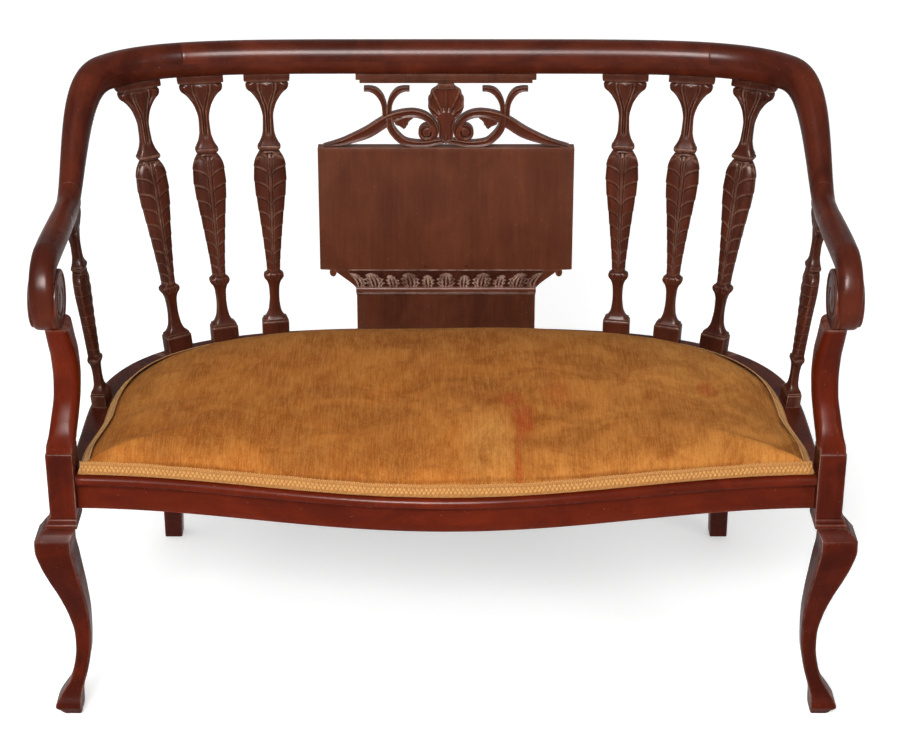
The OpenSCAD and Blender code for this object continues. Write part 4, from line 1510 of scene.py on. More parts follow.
@dataclass
class Uprights:
    """The arm supports, the cabriole front legs and the rear legs."""

    plan: Plan
    finishes: Finishes
    rails: CrestAndArms
    support_w: float = 36.0
    support_d: float = 42.0
    knee_w: float = 50.0
    rear_top_w: float = 34.0
    rear_foot_w: float = 28.0
    rear_top_x: float = 420.0
    rear_splay: float = 29.0
    support_tones: tuple[float, float] = (0.5, 0.42)
    front_tones: tuple[float, float] = (0.24, 0.2)
    rear_tones: tuple[float, float] = (0.34, 0.3)
    support: Profile = Profile(
        ((0.0, 0.01, 0.0, 1.02, 1.21), (0.06, 0.04, 0.04, 1.01, 1.17),
         (0.13, 0.11, 0.14, 0.98, 1.12), (0.25, 0.19, 0.42, 0.96, 1.07),
         (0.42, 0.28, 0.74, 0.93, 1.02), (0.58, 0.3, 0.88, 0.94, 1.02),
         (0.74, 0.28, 0.84, 0.93, 1.08), (0.88, 0.23, 0.66, 0.88, 1.22),
         (1.0, 0.18, 0.52, 0.83, 1.42))
    )
    leg: Profile = Profile(
        ((0.0, 0.22, 0.03, 0.5), (0.024, 0.245, 0.055, 0.6), (0.05, 0.305, 0.105, 0.735),
         (0.056, 0.303, 0.102, 0.735), (0.095, 0.235, 0.045, 0.62), (0.126, 0.15, 0.005, 0.53),
         (0.16, 0.04, -0.04, 0.45), (0.21, -0.06, -0.09, 0.42), (0.26, -0.13, -0.11, 0.41),
         (0.32, -0.19, -0.11, 0.43), (0.4, -0.21, -0.09, 0.46), (0.49, -0.17, -0.03, 0.56),
         (0.61, -0.04, 0.1, 0.72), (0.7, 0.1, 0.2, 0.86), (0.79, 0.23, 0.28, 0.97),
         (0.86, 0.31, 0.31, 1.0), (0.905, 0.31, 0.3, 0.99))
    )

    collar: tuple[tuple[float, ...], ...] = (
        (0.9075, 0.295, 0.288, 0.978, 0.0), (0.926, 0.21, 0.21, 0.92, 0.0),
        (0.943, 0.12, 0.13, 0.872, 0.0), (0.9445, 0.09, 0.08, 0.85, 2.0),
        (0.9455, 0.07, 0.05, 0.846, 5.0), (0.947, 0.065, 0.05, 0.868, 7.0),
        (0.951, 0.065, 0.05, 0.884, 7.0), (0.96, 0.065, 0.05, 0.884, 7.0),
        (0.964, 0.06, 0.05, 0.872, 7.0), (0.9665, 0.055, 0.045, 0.842, 7.0),
        (0.9675, 0.045, 0.04, 0.796, 7.0), (0.969, 0.04, 0.035, 0.79, 7.0),
        (0.9705, 0.038, 0.03, 0.806, 7.0), (0.974, 0.035, 0.03, 0.818, 7.0),
        (0.982, 0.035, 0.03, 0.818, 7.0), (0.986, 0.03, 0.025, 0.8, 7.0),
        (0.9885, 0.02, 0.015, 0.765, 7.0), (0.9905, 0.01, 0.005, 0.742, 7.0),
        (0.996, 0.0, 0.0, 0.74, 7.0),
    )

    def scroll_under(self, y: Array) -> Array:
        """Find the height of the scroll's underside.

        Args:
            y: Places behind the front leg line.

        Returns:
            Heights of its underside.
        """
        rails = self.rails
        d = y - rails.scroll_reach
        reach = d / (rails.scroll_r * (1 - rails.scroll_shrink / 2))
        lean = np.degrees(np.arcsin(np.clip(reach, -0.95, 0.95)))
        r = rails.outline(180 + lean)
        return rails.scroll_mid - np.sqrt(np.maximum(r * r - d * d, 0.0))

    def arm_support(self, right: bool) -> Piece:
        """Build one arm support, whose head fits the scroll over it.

        Args:
            right: Whether it is the right partner.

        Returns:
            The piece.
        """
        plan = self.plan
        u = np.concatenate([[0, 0.0006, 0.002, 0.005], np.linspace(0.012, 1, 76)])
        drawn = np.zeros(len(u))
        drawn[:4] = 1.5, 1.0, 0.75, 0.6
        drawn[4:] = 0.6 * (1 - smooth(u[4:] / 0.06))
        head = self.rails.scroll_mid - self.rails.outline(180.0)
        wide = self.support_w * self.support.at(u, 3) - 2 * drawn
        deep = self.support_d * self.support.at(u, 4) / 1.17 - 2 * drawn
        x, y = box_sections(box_ring(6, 10), wide, deep, mix(2.0, 9.0, smooth(u / 0.22)))
        crown = np.clip(1 - (2 * x / wide[:, None]) ** 2, 0, 1)
        y = y + crown * np.where(y < 0, -1.0, 0.4) * 2.6 * smooth(u / 0.25)[:, None]
        bulge = np.clip(1 - (2 * y / deep[:, None]) ** 2, 0, 1)
        x = x + bulge * np.sign(x) * 0.7 * smooth(u / 0.25)[:, None]
        x = x - plan.leg_half + self.support_w * self.support.at(u, 1)[:, None]
        foot_y = plan.block_back - plan.block_d / 2
        y = y + foot_y + self.support_w * self.support.at(u, 2)[:, None]
        top = np.minimum(self.scroll_under(y), head + self.support_w / 3) + 0.6
        level = np.where(u[:, None] < 1, mix(head, top, (u**6)[:, None]), top)
        z = mix(plan.joint_h, level, u[:, None])
        return settle(
            loft(xyz(x, y, z)), f"{hand(right)}_arm_support_timber",
            self.finishes.leg, right, tone=self.support_tones[right],
        )

    def leg_rows(self) -> Array:
        """List the front leg's squares: height, outward, forward, width, depth, corner.

        Returns:
            One row a square, from the floor to the block's top.
        """
        plan, knee = self.plan, self.knee_w
        mid = plan.block_back - plan.block_d / 2
        rows: list[list[float]] = []
        foot = [0.0, 0.004, 0.012, 0.024, 0.036, 0.046, 0.05, 0.053, 0.056, 0.064, 0.074, 0.084]
        share = np.concatenate([foot, np.linspace(0.095, 0.905, 88)])
        low = plan.rail_low
        side, front, wide = (self.leg.at(share, k) * knee for k in (1, 2, 3))
        curve = smooth((share - 0.12) / 0.1) * smooth((0.93 - share) / 0.2)
        for k, s in enumerate(share):
            drawn = 1.6 * (1 - smooth(s / 0.012)) if s < 0.012 else 0.0
            rows.append(
                [s * low, -plan.leg_half - side[k], mid - front[k], wide[k] - 2 * drawn,
                 wide[k] - 2 * drawn, 1.4 + 1.6 * curve[k]]
            )
        for z, out, forward, size, extra in self.collar:
            rows.append(
                [z * low, -plan.leg_half - knee * out, mid - knee * forward, knee * size,
                 knee * size + extra, 1.3]
            )
        for z, drawn in (
            (low + 4, 0.0), (low + 30, 0.0), (low + 60, 0.0), (plan.joint_h - 4, 0.0),
            (plan.joint_h - 1.2, 0.0), (plan.joint_h - 0.5, 0.15), (plan.joint_h - 0.12, 0.55),
            (plan.joint_h, 1.1),
        ):
            rows.append(
                [z, -plan.leg_half, mid, plan.block_w - 2 * drawn, plan.block_d - 2 * drawn, 1.2]
            )
        return np.array(rows)

    def front_leg(self, right: bool) -> Piece:
        """Build one cabriole front leg with its block and pad foot.

        Args:
            right: Whether it is the right partner.

        Returns:
            The piece.
        """
        rows = self.leg_rows()
        x, y = box_sections(box_ring(5, 8), rows[:, 3], rows[:, 4], rows[:, 5])
        crown = np.clip(1 - (2 * x / rows[:, 3:4]) ** 2, 0, 1)
        share = rows[:, 0:1] / self.plan.rail_low
        soft = smooth((share - 0.1) / 0.12) * smooth((0.9 - share) / 0.1)
        y = y + crown * np.sign(y) * 0.9 * soft
        points = xyz(x + rows[:, 1:2], y + rows[:, 2:3], rows[:, 0:1])
        return settle(
            loft(points), f"{hand(right)}_front_leg_timber",
            self.finishes.leg, right, tone=self.front_tones[right],
        )

    def rear_leg(self, right: bool) -> Piece:
        """Build one square rear leg that sweeps back to its foot.

        Args:
            right: Whether it is the right partner.

        Returns:
            The piece.
        """
        plan = self.plan
        u, drawn = end_rows(60, 1.0, 0.006)
        size = mix(self.rear_foot_w, self.rear_top_w, u) - 2 * np.where(u < 0.5, drawn * 260, 0)
        x, y = box_sections(box_ring(4, 6), size, size, np.full(len(u), 2.2))
        x = x - (self.rear_top_x + self.rear_splay * (1 - u))[:, None]
        top_y = plan.rail_middle(self.rear_top_x)
        foot_y = plan.rear_foot_reach - self.rear_foot_w / 2
        y = y + mix(top_y, foot_y, (1 - u) ** 1.35)[:, None]
        return settle(
            loft(xyz(x, y, plan.rail_low * u[:, None])), f"{hand(right)}_rear_leg_timber",
            self.finishes.leg, right, tone=self.rear_tones[right],
        )

    def build(self) -> list[Piece]:
        """Build the supports and the legs of both sides.

        Returns:
            The pieces.
        """
        pieces = []
        for right in (False, True):
            pieces += [self.arm_support(right), self.front_leg(right), self.rear_leg(right)]
        return pieces


# Seat rails


@dataclass
class SeatRails:
    """The bowed front rail and the side and back rails."""

    plan: Plan
    finishes: Finishes
    back_share: float = 0.8
    corner_x: float = 420.0
    front_tone: float = 0.44
    side_tone: float = 0.28
    back_tone: float = 0.3

    def front(self) -> Piece:
        """Build the bowed front rail with its rounded nosing.

        Returns:
            The piece.
        """
        plan = self.plan
        s, drawn = end_rows(130, 2 * plan.block_inner, 0.5)
        x = (s - plan.block_inner)[:, None]
        face = plan.front_y(x)
        bow = plan.front_bow * self.back_share
        back = plan.block_back - bow * smooth(1 - np.abs(x) / (0.7 * plan.block_inner))
        nose = plan.nose_h / 2
        top, low = plan.rail_top, plan.rail_low
        ring: list[tuple[Array, float]] = [(back - 1, low), (back, low + 1)]
        ring += [(back, mix(low, top, k)) for k in (0.25, 0.5, 0.75)]
        ring += [(back, top - 1), (back - 1, top)]
        ring += [(mix(back, face, k), top) for k in (0.25, 0.5, 0.75, 0.9)]
        for angle in np.radians(np.arange(88, -91, -8)):
            out = (plan.nose_out - nose) * min(1.0, math.cos(angle) * 4)
            ring.append(
                (face - out - nose * math.cos(angle), top - nose + nose * math.sin(angle))
            )
        under = top - plan.nose_h - 2.3
        ring += [(face - 0.6, under + 1.5), (face, under)]
        ring += [(face, mix(under, low + 2.4, k)) for k in (0.2, 0.4, 0.6, 0.8, 1)]
        ring += [(face + 0.7, low + 0.7), (face + 2.4, low)]
        ring += [(mix(face + 2.4, back - 1, k), low) for k in (0.2, 0.4, 0.6, 0.8)]
        ring.append(ring[0])
        y = np.concatenate([r[0] for r in ring], axis=1)
        z = np.tile(np.array([r[1] for r in ring]), (len(s), 1))
        inward = drawn[:, None]
        y = np.where(y > (face + back) / 2, y - inward, y + inward)
        z = np.where(z > (top + low) / 2, z - inward, z + inward)
        return settle(
            loft(xyz(x, y, z)), "front_seat_rail_timber", self.finishes.leg,
            tone=self.front_tone,
        )

    def profile(self) -> Array:
        """List the section of the side and back rails: inset from the outer face, height.

        Returns:
            The corners, in their order round the section.
        """
        plan = self.plan
        low, top, r = plan.rail_low, plan.rail_top, plan.rail_round
        rows = [(plan.rail_t - 1, low), (plan.rail_t * 0.66, low), (plan.rail_t / 3, low)]
        rows += [(r / 3, low), (0.5, low + 0.5), (0, low + r / 3)]
        rows += [(0, mix(low + r / 3, top - r, k)) for k in (0.2, 0.4, 0.6, 0.8)]
        for angle in np.radians(np.arange(0, 91, 10)):
            rows.append((r * (1 - math.cos(angle)), top - r * (1 - math.sin(angle))))
        rows += [(mix(r, plan.rail_t - 1, k), top) for k in (0.2, 0.4, 0.6, 0.8, 1.0)]
        rows += [(plan.rail_t, top - 1), (plan.rail_t, (top + low) / 2), (plan.rail_t, low + 1)]
        rows.append(rows[0])
        return np.array(rows)

    def swept(self, angles: Array, straight: Array) -> Array:
        """Sweep the section along the seat's plan.

        Args:
            angles: Plan angles of the curved part, in degrees.
            straight: Places of the straight part before it, behind the front leg line.

        Returns:
            The points, by ring and column.
        """
        inset, z = self.profile().T
        rows = [xyz(inset - self.plan.rail_half, y, z) for y in straight]
        rows += [xyz(*self.plan.rail_plan(inset, angle).T, z) for angle in angles]
        return np.array(rows)

    def build(self) -> list[Piece]:
        """Build the four rails.

        Returns:
            The pieces.
        """
        plan = self.plan
        corner_y = plan.rail_middle(self.corner_x)
        corner = math.degrees(math.atan2(corner_y - plan.rail_turn, self.corner_x))
        pieces = [self.front()]
        for right in (False, True):
            straight = np.array([plan.block_back, plan.block_back + 1, 60, 90, 120, 149])
            bm = loft(self.swept(180 - np.linspace(0, corner, 60), straight))
            pieces.append(
                settle(bm, f"{hand(right)}_side_rail_timber",
                       self.finishes.rail, right, tone=self.side_tone)
            )
        bm = loft(self.swept(np.linspace(180 - corner, corner, 120), np.array([])))
        pieces.append(
            settle(bm, "back_seat_rail_timber", self.finishes.rail,
                   tone=self.back_tone)
        )
        return pieces


# Balusters


@dataclass
class Balusters:
    """The eight flat balusters, carved on their inner faces."""

    plan: Plan
    finishes: Finishes
    wide: float = 50.0
    thick: float = 22.0
    front_columns: int = 58
    back_columns: int = 16
    jag: float = 0.038
    arm_wear: float = 0.3
    back_feet: tuple[tuple[str, float, float], ...] = (
        ("inner", 265.0, 1.012),
        ("middle", 342.0, 1.074),
        ("outer", 410.0, 1.117),
    )
    back_tones: tuple[float, ...] = (0.52, 0.47, 0.42)
    right_darker: float = 0.03
    side_tone: float = 0.36
    side_y: float = 222.0
    leaf_low: float = 0.256
    leaf_high: float = 0.71
    shape: Profile = Profile(
        ((0.0, 0.83, 1.0, 12), (0.06, 0.83, 1.0, 12), (0.0635, 0.81, 0.98, 11),
         (0.0655, 0.755, 0.94, 9), (0.072, 0.75, 0.93, 9), (0.0745, 0.66, 0.88, 7),
         (0.084, 0.53, 0.74, 5), (0.11, 0.37, 0.6, 4), (0.155, 0.3, 0.56, 4),
         (0.195, 0.33, 0.6, 4), (0.218, 0.44, 0.72, 4), (0.23, 0.58, 0.82, 4),
         (0.237, 0.62, 0.84, 4), (0.244, 0.6, 0.83, 4), (0.2485, 0.5, 0.8, 4),
         (0.252, 0.41, 0.78, 3.4), (0.3, 0.455, 0.81, 3), (0.36, 0.55, 0.84, 2.8),
         (0.48, 0.77, 0.9, 2.6), (0.56, 0.94, 0.97, 2.6), (0.605, 1.0, 1.0, 2.6),
         (0.642, 0.995, 1.0, 2.6), (0.668, 0.945, 0.99, 2.6), (0.686, 0.86, 0.96, 2.6),
         (0.699, 0.74, 0.92, 2.7), (0.709, 0.6, 0.86, 2.8), (0.7125, 0.56, 0.78, 3.4),
         (0.716, 0.56, 0.78, 4), (0.719, 0.66, 0.88, 5), (0.725, 0.7, 0.92, 5),
         (0.731, 0.69, 0.91, 5), (0.7335, 0.62, 0.85, 5), (0.7365, 0.62, 0.84, 5),
         (0.739, 0.6, 0.82, 5), (0.755, 0.475, 0.72, 4), (0.785, 0.35, 0.62, 4),
         (0.835, 0.32, 0.6, 4), (0.88, 0.48, 0.66, 4), (0.915, 0.8, 0.76, 4),
         (0.93, 1.02, 0.82, 4), (0.938, 1.19, 0.86, 4), (0.946, 1.27, 0.9, 4),
         (0.956, 1.29, 0.92, 4), (0.963, 1.22, 0.9, 4), (0.9665, 1.12, 0.86, 5),
         (0.969, 1.1, 0.86, 7), (0.971, 1.36, 0.98, 12), (0.976, 1.38, 1.0, 12),
         (1.0, 1.38, 1.0, 12))
    )
    arcs: tuple[float, ...] = (
        -0.06, 0.02, 0.093, 0.18, 0.283, 0.387, 0.503, 0.627, 0.752, 0.876, 0.985, 1.08
    )

    def rows(self) -> Array:
        """List the heights of the rings, close together where the carving is.

        Returns:
            The heights, as shares.
        """
        crisp = np.array([row[0] for row in self.shape.rows])
        parts = [
            np.linspace(0.0, 0.25, 46), np.linspace(self.leaf_low, self.leaf_high, 150),
            np.linspace(0.712, 0.97, 76), np.linspace(0.972, 1.0, 5), crisp,
            crisp[1:-1] + 0.0008,
        ]
        rows = np.unique(np.round(np.concatenate(parts), 5))
        return rows[(rows >= 0) & (rows <= 1)]

    def ring(self) -> tuple[Array, Array]:
        """List a ring's columns.

        Returns:
            Shares of the half width, and -1 for the front or 1 for the back.
        """
        k = np.linspace(-1, 1, self.front_columns + 1)
        front = np.sign(k) * (1 - (1 - np.abs(k)) ** 1.35)
        k = np.linspace(1, -1, self.back_columns + 1)
        back = np.sign(k) * (1 - (1 - np.abs(k)) ** 1.5)
        side = np.repeat([-1.0, 1.0], [len(front), len(back) - 1])
        return np.concatenate([front, back[1:]]), side

    def leaf_phase(self, u: Array, q: Array) -> tuple[Array, Array]:
        """Find where a place on the leaf lies between the edges of two leaflets.

        Args:
            u: Heights on the baluster.
            q: Shares of the half width from the rib.

        Returns:
            Shares of the way from one edge to the next, and shares inside the leaf.
        """
        t = (u - self.leaf_low) / (self.leaf_high - self.leaf_low)
        index = np.interp(t, self.arcs, np.arange(len(self.arcs)) - 1.0)
        out = np.clip((q - 0.09) / 0.91, 0, 1)
        rise = np.sqrt(np.clip(1 - (1 - out) ** 2.2, 0, 1))
        inside = smooth(t / 0.02) * smooth((1.0 - t) / 0.012)
        phase = index + 0.62 * (1 - rise)
        return phase - np.floor(phase), inside

    def stem_gap(self, u: Array) -> Array:
        """Find how far the capital's veins have opened from the middle line."""
        return 1.5 + 9.5 * smooth((u - 0.855) / 0.1)

    def carving(self, u: Array, q: Array, x: Array) -> Array:
        """Find the depth of the carving on the front.

        Args:
            u: Heights on the baluster.
            q: Shares of the half width, signed.
            x: Distances from its middle line.

        Returns:
            Depths below the plain surface; less than zero stands proud.
        """
        side = np.abs(q)
        part, inside = self.leaf_phase(u, side)
        step = part**1.3 * smooth((1.0 - part) / 0.07)
        rib_w = 0.065 + 0.05 * smooth((u - 0.62) / 0.08)
        off_rib = smooth((side - rib_w) / 0.07)
        size = 1.0 + 0.9 * smooth((u - self.leaf_low) / 0.25)
        leaf = off_rib * (0.3 + 1.05 * step) * size
        leaf = leaf + 0.45 * bump(side, rib_w + 0.05, 0.035) * size
        notch = smooth((u - 0.69) / 0.014) * smooth((0.42 - side) / 0.2)
        leaf = leaf + 1.8 * notch
        depth = leaf * inside
        neck = smooth((u - 0.765) / 0.02) * smooth((0.968 - u) / 0.008)
        open_w = self.stem_gap(u)
        vein = 1.5 * bump(np.abs(x), open_w, 1.1) - 0.5 * bump(np.abs(x), open_w + 2.4, 1.2)
        lips = smooth((u - 0.9) / 0.02)
        lip = -1.2 * bump(side, 0.82, 0.15) * lips + 1.3 * bump(side, 0.55, 0.08) * lips
        bud = -1.0 * bump(u, 0.958, 0.006) * bump(x, 0, 3.0)
        depth = depth + neck * (vein + lip) + bud * neck
        cup = smooth((u - 0.226) / 0.004) * smooth((0.2475 - u) / 0.002)
        lobes = 0.9 * bump(side, 0.36, 0.09)
        return depth + cup * lobes

    def arrises(self, u: Array, q: Array, x: Array) -> Array:
        """Find where the carving's arrises are rubbed pale.

        Args:
            u: Heights on the baluster.
            q: Shares of the half width, signed.
            x: Distances from its middle line.

        Returns:
            Shares of wear.
        """
        side = np.abs(q)
        part, inside = self.leaf_phase(u, side)
        line = np.maximum(smooth((0.17 - part) / 0.17), smooth((part - 0.97) / 0.03))
        fade = mix(0.25, 1.0, smooth((side - 0.14) / 0.25))
        leaf = 0.85 * line * fade * inside * smooth((side - 0.09) / 0.05)
        shoulder = 0.7 * bump(u, 0.7 - 0.02 * side**3, 0.006) * smooth((side - 0.2) / 0.2)
        collar = 0.9 * bump(u, 0.7275, 0.0035) + 0.6 * bump(u, 0.0625, 0.003)
        open_w = self.stem_gap(u)
        stem = 0.4 * bump(np.abs(x), open_w + 2.4, 0.9) * smooth((u - 0.83) / 0.04)
        stem = stem * smooth((0.966 - u) / 0.004)
        abacus = 0.5 * bump(u, 0.974, 0.003)
        return np.clip(leaf + shoulder + collar + stem + abacus, 0, 1)

    def piece(
        self, label: str, foot: Triple, head: Triple, on_arm: bool, right: bool, tone: float
    ) -> Piece:
        """Build one baluster.

        Args:
            label: Its place, as in the solid's name.
            foot: Its foot's place and turn in degrees.
            head: Its head's place and turn.
            on_arm: Whether it stands under an arm.
            right: Whether it is the right partner.
            tone: Where its timber lies between dark and light.

        Returns:
            The piece.
        """
        plan = self.plan
        u = self.rows()[:, None]
        q, face = self.ring()
        half = self.wide / 2 * self.shape.at(u, 1)
        deep = self.thick / 2 * self.shape.at(u, 2)
        n = self.shape.at(u, 3)
        part, inside = self.leaf_phase(u, np.ones_like(u))
        half = half * (1 - self.jag * part**1.2 * inside)
        cup = smooth((u - 0.222) / 0.006) * smooth((0.2475 - u) / 0.002)
        x = half * q
        y = face * deep * np.clip(1 - np.abs(q) ** n, 0, 1) ** (1 / n)
        carve = self.carving(u, q, x) * smooth((1 - np.abs(q)) / 0.06)
        worn = self.arrises(u, q, x) * (face < 0) * (self.arm_wear if on_arm else 1.0)
        y = y + np.where(face < 0, carve, 0) - np.where(face < 0, 0.6 * cup, 0)
        turn = np.radians(mix(foot[2], head[2], u))
        cx, cy = mix(foot[0], head[0], u), mix(foot[1], head[1], u)
        px = cx + x * np.cos(turn) - y * np.sin(turn)
        py = cy + x * np.sin(turn) + y * np.cos(turn)
        if on_arm:
            level, top = plan.arm_under(np.array(head[1])), plan.arm_under(py)
        else:
            level, top = plan.crest_under(np.array(head[0])), plan.crest_under(px)
        z = mix(plan.rail_top, mix(level, top, u**8) + 0.3, u)
        return settle(
            loft(xyz(px, py, z), marks={"worn": worn}), f"{hand(right)}_{label}_baluster_timber",
            self.finishes.carved, right, tone=tone, sharp=55,
        )

    def build(self) -> list[Piece]:
        """Build the balusters of both sides.

        Returns:
            The pieces.
        """
        plan, inset, pieces = self.plan, self.plan.baluster_set, []
        wide, deep, full = plan.rail_oval(inset)
        side_x = -oval_y(deep, wide, full, self.side_y - plan.rail_turn)
        for right in (False, True):
            for (label, x, share), tone in zip(self.back_feet, self.back_tones):
                foot = (-x, plan.rail_y(inset, x), plan.rail_angle(inset, -x))
                head = (-x * share, plan.crest_y(x * share), plan.crest_angle(-x * share))
                tone -= self.right_darker * right
                pieces.append(self.piece(label, foot, head, False, right, tone))
            foot = (side_x, self.side_y, plan.rail_angle(inset, side_x))
            head = (-plan.crest_half, self.side_y + self.thick / 3, 90.0)
            pieces.append(self.piece("side", foot, head, True, right, self.side_tone))
        return pieces


# Splat


@dataclass
class Splat:
    """The low centre splat: stem, leaf moulding, panel, pierced cresting and cap."""

    plan: Plan
    finishes: Finishes
    panel_w: float = 388.0
    panel_t: float = 20.0
    stem_w: float = 276.0
    stem_h: float = 69.0
    band_h: float = 37.0
    band_out: float = 8.0
    cap_w: float = 270.0
    cap_h: float = 17.0
    cresting_h: float = 99.4
    cresting_t: float = 16.0
    ear_x: float = 170.0
    hole_x: float = 31.5
    hole_r: float = 2.5
    ribbon: tuple[Triple, ...] = (
        (-1.87, 0.01, 0.02), (-1.64, 0.055, 0.075), (-1.47, 0.105, 0.115),
        (-1.19, 0.22, 0.165), (-0.97, 0.36, 0.17), (-0.82, 0.45, 0.15),
        (-0.64, 0.51, 0.125), (-0.46, 0.52, 0.118), (-0.3, 0.465, 0.112),
        (-0.19, 0.35, 0.105), (-0.16, 0.23, 0.095), (-0.2, 0.13, 0.08),
        (-0.29, 0.092, 0.06),
    )
    scroll_band: tuple[Triple, ...] = (
        (-0.86, 0.455, 0.088), (-0.835, 0.3, 0.112), (-0.74, 0.165, 0.115),
        (-0.63, 0.08, 0.105), (-0.48, 0.05, 0.095), (-0.31, 0.048, 0.09),
        (-0.13, 0.08, 0.08), (0.0, 0.1, 0.07),
    )
    fork: tuple[Triple, ...] = (
        (-0.03, 0.43, 0.09), (-0.034, 0.56, 0.078), (-0.05, 0.68, 0.08),
        (-0.098, 0.79, 0.09), (-0.17, 0.868, 0.092), (-0.26, 0.9, 0.074),
        (-0.345, 0.902, 0.066),
    )
    hanging_leaf: Profile = Profile(
        ((0.28, -0.64, -0.636), (0.3, -0.668, -0.612), (0.325, -0.712, -0.588),
         (0.35, -0.768, -0.572), (0.4, -0.8, -0.552), (0.44, -0.83, -0.51),
         (0.48, -0.85, -0.48))
    )
    shell: Profile = Profile(
        ((0.06, 0.01), (0.085, 0.06), (0.12, 0.092), (0.19, 0.112), (0.3, 0.112),
         (0.42, 0.14), (0.5, 0.205), (0.56, 0.245), (0.65, 0.272), (0.7, 0.262),
         (0.735, 0.272), (0.76, 0.268), (0.8, 0.24), (0.83, 0.236), (0.87, 0.222),
         (0.905, 0.175), (0.93, 0.14), (0.95, 0.122), (1.0, 0.122))
    )
    bracket_mid: float = -0.893
    band_set: tuple[float, float] = (1.3, 1.0)
    fork_set: tuple[float, float] = (-0.8, 0.6)
    flat_steps: int = 14
    panel_tone: float = 0.46
    # The stem's low tone is painted shade under the moulding.
    stem_shade_tone: float = 0.26
    # The moulding's high tone is a painted highlight.
    moulding_highlight_tone: float = 0.62
    cresting_tone: float = 0.58
    cap_tone: float = 0.34
    eye: Triple = (-0.285, 0.228, 0.135)

    @property
    def foot_y(self) -> float:
        """Distance of the splat's foot behind the front leg line."""
        return self.plan.rail_back - self.plan.baluster_set

    @property
    def rise(self) -> float:
        """Height between the seat rail and the crest rail."""
        plan = self.plan
        return plan.crest_mid - plan.planed * plan.crest_h / 2 - plan.rail_top

    @property
    def lean(self) -> float:
        """Backward lean of the boards, in radians."""
        return math.atan2(self.plan.crest_back - self.foot_y, self.rise)

    @property
    def length(self) -> float:
        """Length of the boards along their lean."""
        return self.rise / math.cos(self.lean)

    @property
    def panel_high(self) -> float:
        """Height of the panel's top along the boards."""
        return self.length - self.cap_h - self.cresting_h

    def stand(self, x: Array, y: Array, z: Array) -> Array:
        """Lean a drawing back into its place, its X across, Y back and Z up the boards."""
        c, s = math.cos(self.lean), math.sin(self.lean)
        return xyz(x, self.foot_y + y * c + z * s, self.plan.rail_top - y * s + z * c)

    def board(self, rows: Sequence[Triple], thick: float, corner: float) -> Mesh:
        """Build an upright board from half widths.

        Args:
            rows: Heights, half widths and how far each is drawn in, from the bottom.
            thick: The board's thickness.
            corner: The rounding of its arrises.

        Returns:
            The board's mesh.
        """
        z, half, drawn = np.array(rows, float).T
        ring = box_ring(3, self.flat_steps)
        corners = np.full(len(z), corner)
        x, y = box_sections(ring, 2 * (half - drawn), thick - 2 * drawn, corners)
        return loft(self.stand(x, y, z[:, None]))

    def panel(self) -> Piece:
        """Build the plain panel with its eared and curved lower end.

        Returns:
            The piece.
        """
        low, high, half = self.stem_h + self.band_h, self.panel_high, self.panel_w / 2
        foot = self.stem_h + 1
        rows: list[Triple] = []
        for k in np.linspace(0, 1, 26):
            wide = mix(self.stem_w / 2 - 1, self.ear_x, k**1.7 * 0.62 + 0.38 * smooth(np.array(k)))
            rows.append((mix(foot, low - 3.5, k), float(wide), 0.9 if k == 0 else 0.0))
        rows += [(low - 2.6, self.ear_x + 0.5, 0), (low - 0.8, self.ear_x + 0.9, 0)]
        rows += [(low, half - 1.2, 0), (low + 0.4, half - 0.3, 0), (low + 1.2, half, 0)]
        rows += [(z, half, 0) for z in np.linspace(low + 12, high - 8, 16)]
        rows += [(high - 1.0, half, 0.0), (high - 0.35, half, 0.22), (high, half, 0.9)]
        parts = [self.board(rows, self.panel_t, 0.9)]
        rise = [0.0, 0.3, 0.6, 0.8, 0.93, 1.0, 1.0]
        share = np.array([*rise, *reversed(rise)])[:, None]
        to_face = [0.4, 0.85, 0.94, 1.0, 1.0, 1.0, 1.0]
        depth = np.array([*(-v for v in reversed(to_face)), *to_face])[:, None]
        a = TAU * np.arange(29) / 28
        for side in (-1, 1):
            ear = self.stand(
                side * (self.ear_x + 4.2) + 5.4 * share * np.cos(a),
                depth * (self.panel_t / 2 - 0.4), low - 5.2 + 7.0 * share * np.sin(a),
            )
            parts += [loft(ear), self.nail_hole(side * self.hole_x, low + 5.0)]
        return settle(
            join(parts), "splat_panel_timber", self.finishes.panel,
            tone=self.panel_tone,
        )

    def nail_hole(self, x: float, z: float) -> Mesh:
        """Sink an old nail hole in the panel's face, painted dark with grime and shade.

        Args:
            x: Its place across the panel.
            z: Its height on the boards.

        Returns:
            The mesh.
        """
        share = np.linspace(0, 1, 6)[:, None]
        a = TAU * np.arange(17) / 16
        ragged = 1 + 0.12 * np.sin(3 * a + x)
        points = self.stand(
            x + self.hole_r * share * np.cos(a) * ragged,
            -self.panel_t / 2 - 0.15 - 0.2 * (1 - share**2),
            z + self.hole_r * share * np.sin(a) * ragged,
        )
        # The shallow dish is painted dark: grime and painted shade.
        return loft(points, caps=False, marks={"sunk": np.ones(1)})

    def stem(self) -> Piece:
        """Build the stem with the fillet under the moulding.

        Returns:
            The piece.
        """
        half, high = self.stem_w / 2, self.stem_h
        rows = [(-1.2, half, 0.0), *((z, half, 0.0) for z in np.linspace(8, high - 8, 8))]
        rows += [(high - 5.2, half, 0.0), (high - 0.2, half, 0.4)]
        body = self.board(rows, self.panel_t, 0.8)
        wide = half + 0.6
        rows = [(high - 4.6, wide, 1.2), (high - 4.3, wide, 0.4), (high - 3.6, wide, 0.0)]
        rows += [(high - 1.6, wide, 0.0), (high - 0.8, wide, 0.4), (high - 0.5, wide, 1.2)]
        return settle(
            join([body, self.board(rows, self.panel_t + 4, 0.9)]), "splat_stem_timber",
            self.finishes.panel, tone=self.stem_shade_tone,
        )

